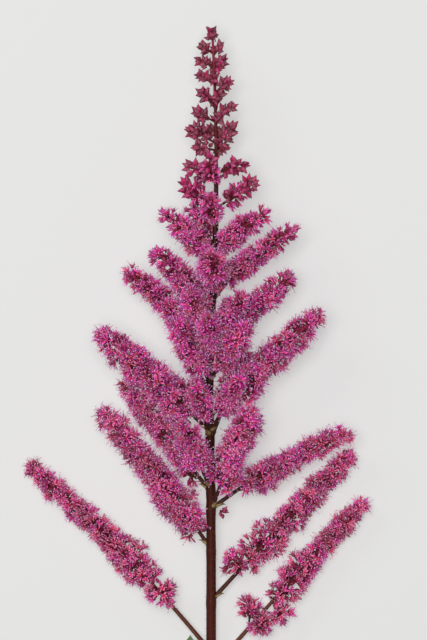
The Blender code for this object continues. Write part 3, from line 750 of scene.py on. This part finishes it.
def grain(tree, scale, detail, stretch=(1.0, 1.0, 1.0)):
    return put(tree, "ShaderNodeGroup", {"Stretch": stretch, "Scale": scale, "Detail": detail},
               node_tree=grainGroup).outputs[0]


def shaded(tree, colour, grainMask, base, share):  # lighter and darker with the grain
    return put(tree, "ShaderNodeHueSaturation", {
        "Value": plus(tree, base, times(tree, grainMask, share)), "Color": colour}).outputs[0]


def bumped(tree, shader, height, strength):
    bump = put(tree, "ShaderNodeBump", {
        "Height": height, "Strength": strength, "Distance": 0.0002}).outputs[0]
    tree.links.new(bump, shader.inputs["Normal"])


def newMaterial(name, **sockets):
    material = bpy.data.materials.new(name)
    material.use_nodes = True
    shader = material.node_tree.nodes["Principled BSDF"]
    for key, value in sockets.items():
        shader.inputs[key].default_value = value
    return material, material.node_tree, shader


def makeFlowerMaterials():
    tone = makeToneGroup()
    materials = {}
    for name in kinds:
        specular = {"Specular IOR Level": toneRules["specular"]}
        material, tree, shader = newMaterial("flower_" + name, **specular)
        values = {label: (*colour, 1) for label, colour in zip(toneLabels, palette[name])}
        values.update({"Contrast": palette[name][-1], "Painted Edge Highlight": paintedEdgeHighlight.get(name, 0.0)})
        group = put(tree, "ShaderNodeGroup", values, node_tree=tone)
        tree.links.new(group.outputs[0], shader.inputs["Base Color"])
        tree.links.new(group.outputs[1], shader.inputs["Roughness"])
        materials[name] = material
    return materials


print("scene: frame loaded")
organs = makeOrgans()
grainGroup = makeGrainGroup()
sprayTree = makeSprayTree(organs, makeFlowerMaterials())
pieces = []


def triangles(piece):
    return sum(len(face.vertices) - 2 for face in piece.data.polygons)


def keep(piece, slot, *nodes):
    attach(piece, "root")
    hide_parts(*nodes)
    pieces.append(piece)


def grow(name, lines, slot, node, look):
    piece = frozen(linesHolder(name, lines), name, sprayTree, look)
    keep(piece, slot, node)
    return piece


# Sprays

sprayLook = {
    "fresh": {"Looseness": 0.10, "Bunch Pitch": 0.00102, "Florets Per Reach": 760.0, "Floret Size": 1.14},
    "ageing": {"Looseness": 0.30, "Bunch Pitch": 0.00120, "Florets Per Reach": 1020.0, "Floret Size": 1.24},
    "high": {"Florets Per Reach": 950.0, "Bunch Pitch": 0.00100, "Floret Size": 1.16}, "highAbove": 174.0,
    "short": {"Looseness": 0.15, "Floret Depth": 0.0016, "Florets Per Reach": 1250.0, "Ripeness": 0.85,
              "Bunch Pitch": 0.00095, "Floret Size": 1.15},
    "hiddenPitch": 1.7,  # sprays on the far side have their bunches this much farther apart
    "seed": 100,
}

for number, spray in enumerate(sprays):
    fresh, ageing, age = sprayLook["fresh"], sprayLook["ageing"], spray["age"]
    look = {key: fresh[key] + (ageing[key] - fresh[key]) * age for key in fresh}
    if spray["name"].startswith("under"):
        look["Bunch Pitch"] *= sprayLook["hiddenPitch"]
    if spray not in longSprays:
        look.update(sprayLook["short"])
    elif spray["root"] > sprayLook["highAbove"]:
        look.update(sprayLook["high"])
    look.update({"Age": age, "Seed": sprayLook["seed"] + number})
    lobes = sprayShape["deepLobes" if spray["root"] <= sprayShape["deepBelow"] else "lobes"]
    line = sprayLine(paths[spray["name"]], spray["bare"], spray["base"], spray["tipRadius"],
                     (spray["openBase"], spray["openTip"]), lobes)
    grow("florets_" + spray["name"], [line], "florets", "spray_" + spray["name"], look)
print("scene: sprays", sum(triangles(p) for p in pieces))

bunchLook = {
    "Bunch Pitch": 0.0007, "Florets Per Reach": 1000.0, "Looseness": 0.1, "Floret Size": 1.2,
}
bunchShape = {"fullness": 1.32, "tipShare": 0.95, "opened": (0.52, 0.56), "seed": 300}

for number, bunch in enumerate(sideBunches):
    path, bare = sideBunchPath(bunch)
    radius = bunch["radius"] * bunchShape["fullness"]
    age = next(spray["age"] for spray in sprays if spray["name"] == bunch["carrier"])
    line = sprayLine(path, bare, radius, radius * bunchShape["tipShare"], bunchShape["opened"],
                     sprayShape["lobes"])
    grow("florets_bunch_" + bunch["name"], [line], "florets", "bunch_" + bunch["name"],
         dict(bunchLook, Age=age, Seed=bunchShape["seed"] + number))
print("scene: side bunches", sum(triangles(p) for p in pieces))

# a few closed buds straight on the stem
stemBuds = ((97.4, 4.1, 98.3, 1.4), (147.0, -3.8, 149.0, 1.4))  # foot height, x, height, radius
stemBudLook = {
    "Bunch Pitch": 0.0007, "Florets Per Reach": 1500.0, "Floret Depth": 0.0012, "Floret Size": 0.8,
    "Lean": 0.6, "Age": 0.5,
}

for number, (foot, x, height, radius) in enumerate(stemBuds):
    root = stemAt(foot)[0]
    path, bare = bunchPath(root, Vector((x, height, root.z)), radius)
    line = sprayLine(path, bare, radius, radius, (0.0, 0.0), sprayShape["lobes"])
    grow("florets_stem_%d" % (number + 1), [line], "buds", "stem", dict(stemBudLook, Seed=350 + number))


# The tip: a thin axis with bunches of closed buds

tipShape = {"axisStep": 3.0, "stalkRadius": 0.38, "reachShare": 1.08, "endGap": 0.75, "steps": 12}
tipLook = {
    "Bunch Pitch": 0.00062, "Florets Per Reach": 1250.0, "Floret Depth": 0.0019, "Floret Size": 1.06,
    "Filler": 0.55, "Looseness": 0.1, "Lean": 0.6, "Ripeness": 0.15, "Age": 0.0, "Seed": 400,
}


def tipLines():
    shape, steps = tipShape, tipShape["steps"]
    count = round((stemTop - tipFrom) / shape["axisStep"])
    heights = [tipFrom + (stemTop - tipFrom) * i / count for i in range(count + 1)]
    bare = [0.0] * len(heights)
    lines = [([stemAt(h)[0] for h in heights],
              {"share": [i / count for i in range(count + 1)], "reach": bare, "opened": bare, "lobed": bare,
               "axis": [stemAt(h)[1] * mm for h in heights]})]
    shares = [i / steps for i in range(steps + 1)]
    closed = [0.0] * len(shares)
    for height, (x, centreHeight, over), radius in tipBunches:
        centre = Vector((x, centreHeight, stemAt(centreHeight)[0].z + over))
        path, bareShare = bunchPath(stemAt(height)[0], centre, radius)
        end = 1.0 - radius * shape["endGap"] / pathLength(path)
        reach = [0.0 if s * end < bareShare else radius * shape["reachShare"] * mm for s in shares]
        lines.append(([path(s * end) for s in shares], {
            "share": shares, "reach": reach, "opened": closed, "lobed": closed,
            "axis": [shape["stalkRadius"] * mm] * len(shares)}))
    return lines


tip = grow("florets_tip", tipLines(), "buds", "spray_tip", tipLook)
print("scene: tip", triangles(tip))


# Stalks: the main stem, the bare parts of the side stalks, the scales under them and fine hairs

stalkLook = {
    "ribs": 9, "ribDepth": 0.07, "step": 3.0,
    "nodeSwell": 0.10, "nodeLength": 1.6, "mostSwell": 1.12,  # the main stem where side stalks leave it
    "longRadius": 0.85, "shortRadius": 0.54, "bunchRadius": 0.45, "taper": 0.75,
    "bunchHeight": 80.0,  # the height on the stem whose colour the bunches' stalks take
    "flare": 0.35, "flareShare": 0.12,
    "bractLength": 4.2, "bractWidth": 0.95, "bractTilt": 22.0, "bractOffset": 0.55,
    "bractSpread": (0.85, 1.15),
    "hairsPerSquareMetre": 0.45e6, "hairLength": 1.0, "hairRadius": 0.045,
    "hairTurn": (0.6, 0.6, 3.0), "hairSpread": (0.4, 1.1), "seed": 5,
}


def stalkLine(path, end, thick, rootHeight):
    count = max(4, math.ceil(pathLength(path, 0.0, end) / stalkLook["step"])) + 1
    shares = [i / (count - 1) for i in range(count)]
    flare, flareShare = stalkLook["flare"], stalkLook["flareShare"]
    radii = [thick * (1 - (1 - stalkLook["taper"]) * s) * (1 + flare * max(0.0, 1 - s / flareShare) ** 2)
             for s in shares]
    return [path(end * s) for s in shares], {
        "radius": [r * mm for r in radii], "side": [min(1.0, 3 * s) for s in shares], "along": shares,
        "height": [rootHeight / stemTop] * count}


def mainStemLine():
    look, last = stalkLook, tipFrom - plant["gap"]
    count = round(last / look["step"]) + 1
    heights = [last * i / (count - 1) for i in range(count)]
    swells = [1 + look["nodeSwell"] * sum(math.exp(-((h - spray["root"]) / look["nodeLength"]) ** 2)
                                          for spray in sprays) for h in heights]
    return [stemAt(h)[0] for h in heights], {
        "radius": [stemAt(h)[1] * mm * min(look["mostSwell"], swell) for h, swell in zip(heights, swells)],
        "side": [0.0] * count, "along": [i / (count - 1) for i in range(count)],
        "height": [h / stemTop for h in heights]}


def makeStalkTree(bract, hair, bractSpots, materials):
    tree, given, made = newTree("Geometry", "stalks", (
        ("Geometry", "Geometry", None),
        ("Ribs", "Int", 9),
        ("Rib Depth", "Float", 0.06),
        ("Hair Density", "Float", 1.0e6),
        ("Seed", "Int", 5),
    ))
    ask = given.outputs
    curve = put(tree, "GeometryNodeMeshToCurve", {"Mesh": ask["Geometry"]}).outputs[0]
    profile = put(tree, "GeometryNodeCurveStar", {
        "Points": ask["Ribs"], "Outer Radius": 1.0,
        "Inner Radius": minus(tree, 1.0, ask["Rib Depth"])}).outputs[0]
    tube = put(tree, "GeometryNodeCurveToMesh", {
        "Curve": curve, "Profile Curve": profile, "Scale": named(tree, "radius"),
        "Fill Caps": True}).outputs[0]

    spots = put(tree, "GeometryNodeDistributePointsOnFaces", {
        "Mesh": tube, "Density": ask["Hair Density"], "Seed": ask["Seed"]}, distribute_method="RANDOM")
    index = put(tree, "GeometryNodeInputIndex").outputs[0]
    turn = put(tree, "FunctionNodeEulerToRotation", {
        0: randomVector(tree, stalkLook["hairTurn"], index, ask["Seed"])}).outputs[0]
    facing = put(tree, "FunctionNodeRotateRotation", {0: spots.outputs["Rotation"], 1: turn},
                 rotation_space="LOCAL").outputs[0]
    hairs = planted(tree, spots.outputs["Points"], shapeOf(tree, hair), facing,
                    randomFloat(tree, *stalkLook["hairSpread"], index, ask["Seed"]))

    bractPoints = put(tree, "GeometryNodeMeshToPoints", {0: shapeOf(tree, bractSpots)}).outputs[0]
    way, back = (named(tree, n, "FLOAT_VECTOR") for n in ("way", "back"))
    facing = put(tree, "FunctionNodeAxesToRotation", {0: way, 1: back}, primary_axis="Z",
                 secondary_axis="Y").outputs[0]
    bracts = planted(tree, bractPoints, shapeOf(tree, bract), facing,
                     randomFloat(tree, *stalkLook["bractSpread"], index, ask["Seed"]))

    kindsOfPart = ((tube, "POINT"), (hairs, "INSTANCE"), (bracts, "INSTANCE"))
    parts = [stored(tree, part, "part", float(number), "FLOAT", domain)
             for number, (part, domain) in enumerate(kindsOfPart)]
    mesh = put(tree, "GeometryNodeRealizeInstances", {"Geometry": joined(tree, parts)}).outputs[0]
    finishInKinds(tree, pressedFlat(tree, mesh), named(tree, "part"),
                  [materials[name] for name in ("stalk", "hair", "bract")], made)
    return tree


def makeBractSpots():
    points, ways, backs = [], [], []
    length, tilt = stalkLook["bractLength"], math.radians(stalkLook["bractTilt"])
    for spray in longSprays:
        path = paths[spray["name"]]
        share = (stemAt(spray["root"])[1] + length * 0.3) / pathLength(path)
        tangent = (path(share + 0.01) - path(share - 0.01)).normalized()
        below = (Vector((0, -1, 0)) + tangent * tangent.y).normalized()
        aim = (tangent * math.cos(tilt) + below * math.sin(tilt)).normalized()
        points.append(inPlace(path(share) + below * stalkLook["bractOffset"] - aim * length * 0.42))
        ways.append(aim)
        backs.append(-(below - aim * below.dot(aim)).normalized())
    mesh = bpy.data.meshes.new("bractSpots")
    mesh.from_pydata(points, [], [])
    for key, vectors in (("way", ways), ("back", backs)):
        values = mesh.attributes.new(key, "FLOAT_VECTOR", "POINT").data
        values.foreach_set("vector", np.array(vectors).ravel())
    return newObject("bractSpots", mesh)


def colourRamp(tree, attribute, stops):
    node = put(tree, "ShaderNodeValToRGB", {0: attributeFactor(tree, attribute)})
    elements = node.color_ramp.elements
    while len(elements) < len(stops):
        elements.new(1.0)
    for element, (place, colour) in zip(elements, stops):
        element.position = place
        element.color = (*colour, 1)
    return node.outputs[0]


stalkColours = {
    "main": ((0.0, (0.100, 0.020, 0.012)), (0.30, (0.062, 0.012, 0.007)), (0.52, (0.028, 0.004, 0.004)),
             (0.78, (0.034, 0.004, 0.006)), (0.86, (0.17, 0.026, 0.045)), (1.0, (0.26, 0.045, 0.080))),
    "side": ((0.17, (0.125, 0.038, 0.024)), (0.25, (0.065, 0.018, 0.014)), (0.6, (0.048, 0.014, 0.014)),
             (1.0, (0.13, 0.020, 0.036))),
    "greenish": (0.24, 0.19, 0.055),
    "bract": ((0.0, (0.24, 0.19, 0.06)), (0.45, (0.30, 0.23, 0.08)), (1.0, (0.12, 0.040, 0.025))),
    "hair": ((0.0, (0.30, 0.13, 0.10)), (1.0, (0.39, 0.169, 0.13))),
    "patch": (0.17, 0.10, 0.05),
}
stalkGrain = {  # scale, detail and stretch of each grain; darkest and range of the shading; bump
    "streak": (1.0, 3.0, (2600.0, 90.0, 2600.0)), "patches": (420.0, 2.0), "bract": (900.0, 2.0),
    "stalkShade": (0.70, 0.60), "bractShade": (0.7, 0.6), "bump": 0.25,
    "patchRange": (0.55, 0.75, 0.0, 0.14),
    "underside": (0.2, 0.85, 0.0), "undersideRange": (0.1, -0.8, 0.0, 0.9), "greenishLength": 2.2,
}


def makeStalkMaterials():
    look = stalkGrain
    skin, tree, shader = newMaterial("stalkSkin", **{"Roughness": 0.5, "Specular IOR Level": 0.12})
    streak = grain(tree, *look["streak"])
    main, side = (colourRamp(tree, "height", stalkColours[key]) for key in ("main", "side"))
    # a side stalk is greenish below, near the main stem
    normal = put(tree, "ShaderNodeNewGeometry").outputs["Normal"]
    under = mapped(tree, vec2(tree, "DOT_PRODUCT", normal, look["underside"]), *look["undersideRange"])
    away = math2(tree, "MINIMUM", 1.0, times(tree, attributeFactor(tree, "along"), look["greenishLength"]))
    greenish = times(tree, under, minus(tree, 1.0, away))
    side = blend(tree, greenish, side, (*stalkColours["greenish"], 1))
    colour = blend(tree, attributeFactor(tree, "side"), main, side)
    patch = mapped(tree, grain(tree, *look["patches"]), *look["patchRange"])
    colour = blend(tree, patch, colour, (*stalkColours["patch"], 1))
    tree.links.new(shaded(tree, colour, streak, *look["stalkShade"]), shader.inputs["Base Color"])
    bumped(tree, shader, streak, look["bump"])
    scale, tree, shader = newMaterial("scaleSkin", Roughness=0.55)
    colour = shaded(tree, colourRamp(tree, "along", stalkColours["bract"]), grain(tree, *look["bract"]),
                    *look["bractShade"])
    tree.links.new(colour, shader.inputs["Base Color"])
    hair, tree, shader = newMaterial("stalkHair", Roughness=0.5)
    tree.links.new(colourRamp(tree, "along", stalkColours["hair"]), shader.inputs["Base Color"])
    return {"stalk": skin, "bract": scale, "hair": hair}


def buildStalks():
    look = stalkLook
    lines = [mainStemLine()]
    for spray in sprays:
        thick = look["longRadius" if spray in longSprays else "shortRadius"]
        lines.append(stalkLine(paths[spray["name"]], spray["bare"], thick, spray["root"]))
    for bunch in sideBunches:
        path, bare = sideBunchPath(bunch)
        lines.append(stalkLine(path, bare + 0.02, look["bunchRadius"], look["bunchHeight"]))
    length, width = look["bractLength"], look["bractWidth"]
    rings = ((0.0, 0.5, 0.0), (0.2, 0.95, -0.12), (0.5, 0.85, -0.25), (0.8, 0.42, -0.10))
    bract = loft("bractShape", "twig", [(length * high, width * wide, lean) for high, wide, lean in rings],
                 8, foot=(-0.3, 0.0), head=(length, 0.35), flat=0.70)
    hair = loft("hairShape", "twig", [(look["hairLength"] * 0.3, look["hairRadius"], 0.0)], 3,
                foot=(-0.1, 0.0), head=(look["hairLength"], 0.1))
    spots = makeBractSpots()
    tree = makeStalkTree(bract, hair, spots, makeStalkMaterials())
    piece = frozen(linesHolder("stalks", lines), "stalks", tree, {
        "Ribs": look["ribs"], "Rib Depth": look["ribDepth"], "Hair Density": look["hairsPerSquareMetre"],
        "Seed": look["seed"]})
    for shape in (bract, hair, spots):
        bpy.data.objects.remove(shape)
    return piece


stalks = buildStalks()
keep(stalks, "stem", "stem")
print("scene: stalks", triangles(stalks))


# Leaf: three toothed leaflets on a short petiole

leafLook = {
    "rootHeight": 38.0, "fork": (-7.6, 38.6, 3.6), "petioleRadius": 0.6, "thickness": 0.34,
    "leaflets": ((24.0, 12.5, 17.0), (15.5, 8.5, 91.0), (15.5, 8.5, -57.0)),  # length, width, turn
    "rows": 44, "columns": 16, "teeth": 11, "toothDepth": 0.15, "veins": 7,
    "arch": 1.6, "fold": 0.18, "veinDepth": 0.16, "veinSlant": 1.3,
    "colours": ((0.045, 0.12, 0.028), (0.105, 0.21, 0.060), (0.20, 0.30, 0.12)),  # dark, light, veins
    "veinSharpness": 14.0, "sideVein": 0.6, "midrib": (0.03, 0.10), "mottle": (260.0, 4.0), "bump": 0.2,
}


def leafletMesh(builder, layers, fork, length, width, turn):
    look = leafLook
    heading = math.radians(180.0 - turn)
    along = Vector((math.cos(heading), math.sin(heading), 0))
    across = Vector((-along.y, along.x, 0))
    rows, columns = look["rows"], look["columns"]
    grid = []
    for row in range(rows + 1):
        share = row / rows
        phase = share * look["teeth"] % 1.0
        tooth = 1.0 - look["toothDepth"] * (1.0 - phase)
        half = width / 2 * math.sin(math.pi * min(1.0, share ** 0.75 + 0.02)) ** 0.8
        line = []
        for column in range(columns + 1):
            place = column / columns * 2 - 1
            edge = abs(place) ** 6
            offset = place * (half * (1 - edge + edge * tooth) + 0.12)
            forward = length * share + (0.45 * phase + 0.35) * edge * (1 - share)
            lift = look["arch"] * (math.sin(math.pi * share) - 0.9 * share) + look["fold"] * abs(offset)
            vein = math.cos(2 * math.pi * (share * look["veins"] - abs(place) * look["veinSlant"]))
            lift -= look["veinDepth"] * max(0.0, vein) ** 3 * min(1.0, 2 * abs(place)) * (1 - edge)
            lift -= look["veinDepth"] * 1.6 * math.exp(-(place / 0.07) ** 2)
            line.append((fork + along * forward + across * offset + Vector((0, 0, lift)), share, place))
        grid.append(line)
    sides = []
    for drop in (0.0, look["thickness"]):
        verts = []
        for line in grid:
            verts.append([])
            for point, share, place in line:
                vert = builder.verts.new(inPlace(point - Vector((0, 0, drop))))
                vert[layers["along"]], vert[layers["across"]] = share, place
                verts[-1].append(vert)
        sides.append(verts)
    top, bottom = sides
    for r in range(rows):
        for c in range(columns):
            builder.faces.new((top[r][c], top[r + 1][c], top[r + 1][c + 1], top[r][c + 1]))
            builder.faces.new((bottom[r][c], bottom[r][c + 1], bottom[r + 1][c + 1], bottom[r + 1][c]))
    rim = [(r, 0) for r in range(rows + 1)] + [(rows, c) for c in range(1, columns + 1)]
    rim += [(r, columns) for r in range(rows - 1, -1, -1)] + [(0, c) for c in range(columns - 1, 0, -1)]
    for (r, c), (nextR, nextC) in zip(rim, rim[1:] + rim[:1]):
        builder.faces.new((top[r][c], bottom[r][c], bottom[nextR][nextC], top[nextR][nextC]))


def petioleMesh(builder, layers, root, fork):
    radius, sides, steps = leafLook["petioleRadius"], 10, 10
    start = root + (fork - root).normalized() * (stemAt(leafLook["rootHeight"])[1] + plant["gap"])
    end = fork + (fork - root).normalized() * 1.5
    middle = (start + fork) / 2 + Vector((0, 0, 0.5))
    path = bentPath(start, middle, end)
    rings = []
    for step in range(steps + 1):
        share = step / steps
        tangent = (path(share + 0.01) - path(share - 0.01)).normalized()
        side = tangent.cross(Vector((0, 0, 1))).normalized()
        up = side.cross(tangent)
        thick = radius * (1.15 - 0.4 * share)
        rings.append([])
        for i in range(sides):
            angle = 2 * math.pi * i / sides
            vert = builder.verts.new(inPlace(
                path(share) + side * math.cos(angle) * thick + up * math.sin(angle) * thick))
            vert[layers["along"]], vert[layers["across"]] = 0.0, 0.0
            rings[-1].append(vert)
    for low, high in zip(rings, rings[1:]):
        for i in range(sides):
            builder.faces.new((low[i], low[(i + 1) % sides], high[(i + 1) % sides], high[i]))
    builder.faces.new(rings[0])
    builder.faces.new(list(reversed(rings[-1])))


def makeLeafMaterial():
    material, tree, shader = newMaterial("leafBlade", **{"Roughness": 0.5, "Specular IOR Level": 0.4})
    along, across = attributeFactor(tree, "along"), attributeFactor(tree, "across")
    away = math2(tree, "ABSOLUTE", across)
    wave = times(tree, along, float(leafLook["veins"]))
    wave = minus(tree, wave, times(tree, away, leafLook["veinSlant"]))
    vein = math2(tree, "MAXIMUM", math2(tree, "COSINE", times(tree, wave, 2 * math.pi)), 0.0)
    vein = times(tree, math2(tree, "POWER", vein, leafLook["veinSharpness"]), leafLook["sideVein"])
    vein = math2(tree, "MAXIMUM", vein, mapped(tree, away, *leafLook["midrib"], 1.0, 0.0))
    mottle = grain(tree, *leafLook["mottle"])
    dark, light, veinColour = ((*colour, 1) for colour in leafLook["colours"])
    colour = blend(tree, vein, blend(tree, mottle, dark, light), veinColour)
    tree.links.new(colour, shader.inputs["Base Color"])
    bumped(tree, shader, mottle, leafLook["bump"])
    return material


def buildLeaf():
    builder = bmesh.new()
    layers = {key: builder.verts.layers.float.new(key) for key in ("along", "across")}
    root, fork = stemAt(leafLook["rootHeight"])[0], Vector(leafLook["fork"])
    for size in leafLook["leaflets"]:
        leafletMesh(builder, layers, fork, *size)
    petioleMesh(builder, layers, root, fork)
    bmesh.ops.recalc_face_normals(builder, faces=builder.faces[:])
    mesh = bpy.data.meshes.new("leafBlades")
    builder.to_mesh(mesh)
    builder.free()
    mesh.shade_smooth()
    mesh.materials.append(makeLeafMaterial())
    return newObject("leafBlades", mesh)


leaf = buildLeaf()
keep(leaf, "leaf", "leaf")
print("scene: leaf", triangles(leaf))

for shape in organs.values():
    bpy.data.objects.remove(shape)


# Floor, light and camera

studio = {
    "floorSize": 16.0, "floorColour": (0.40, 0.40, 0.397), "floorGlow": 0.39, "cloudScale": 1.5,
    "roomLight": 0.13, "roomBackdrop": 0.33, "aim": (0.0, 0.03, 0.0),
    "lamps": (("overhead", (-0.10, 0.12, 1.4), 0.60, 15.3), ("side", (-0.8, 0.8, 0.9), 0.7, 3.5)),
    "frameCentre": (5.875, 31.45, 12.0), "frameHeight": 224.0, "cameraHeight": 1200.0, "sensor": 36.0,
}


def makeFloor():
    bpy.ops.mesh.primitive_plane_add(size=studio["floorSize"], location=(0, 0, -0.0002))
    floor = bpy.context.object
    floor.name = "floor"
    material, tree, shader = newMaterial("paleFloor", **{
        "Roughness": 0.9, "Emission Color": (1, 1, 0.99, 1), "Emission Strength": studio["floorGlow"]})
    place = put(tree, "ShaderNodeTexCoord").outputs["Object"]
    cloud = put(tree, "ShaderNodeTexNoise", {"Vector": place, "Scale": studio["cloudScale"]}).outputs[0]
    pale = studio["floorColour"]
    colour = blend(tree, cloud, (*pale, 1), (*(c * 0.985 for c in pale), 1))
    tree.links.new(colour, shader.inputs["Base Color"])
    floor.data.materials.append(material)


def areaLight(name, place, size, power):
    data = bpy.data.lights.new(name, "AREA")
    data.shape, data.size, data.energy = "SQUARE", size, power
    lamp = newObject(name, data)
    lamp.location = place
    lamp.rotation_euler = (Vector(studio["aim"]) - Vector(place)).to_track_quat("-Z", "Y").to_euler()


def makeRoom():
    world = bpy.data.worlds.new("studio")
    world.use_nodes = True
    tree = world.node_tree
    background = tree.nodes["Background"]
    background.inputs[0].default_value = (1, 1, 1, 1)
    # past the floor's edge the room looks as pale as the far floor
    seen = put(tree, "ShaderNodeLightPath").outputs["Is Camera Ray"]
    strength = math2(tree, "MULTIPLY_ADD", seen, studio["roomBackdrop"], studio["roomLight"])
    tree.links.new(strength, background.inputs[1])
    bpy.context.scene.world = world
    bpy.context.scene.view_settings.view_transform = "Standard"


def makeCamera():
    centre = Vector(studio["frameCentre"])
    data = bpy.data.cameras.new("camera")
    data.sensor_fit, data.sensor_height = "VERTICAL", studio["sensor"]
    data.lens = studio["sensor"] * (studio["cameraHeight"] - centre.z) / studio["frameHeight"]
    data.clip_start, data.clip_end = 0.05, 20.0
    camera = newObject("camera", data)
    camera.location = Vector((centre.x, centre.y, studio["cameraHeight"])) * mm
    bpy.context.scene.camera = camera


makeFloor()
for lamp in studio["lamps"]:
    areaLight(*lamp)
makeRoom()
makeCamera()
print("scene: studio ready")
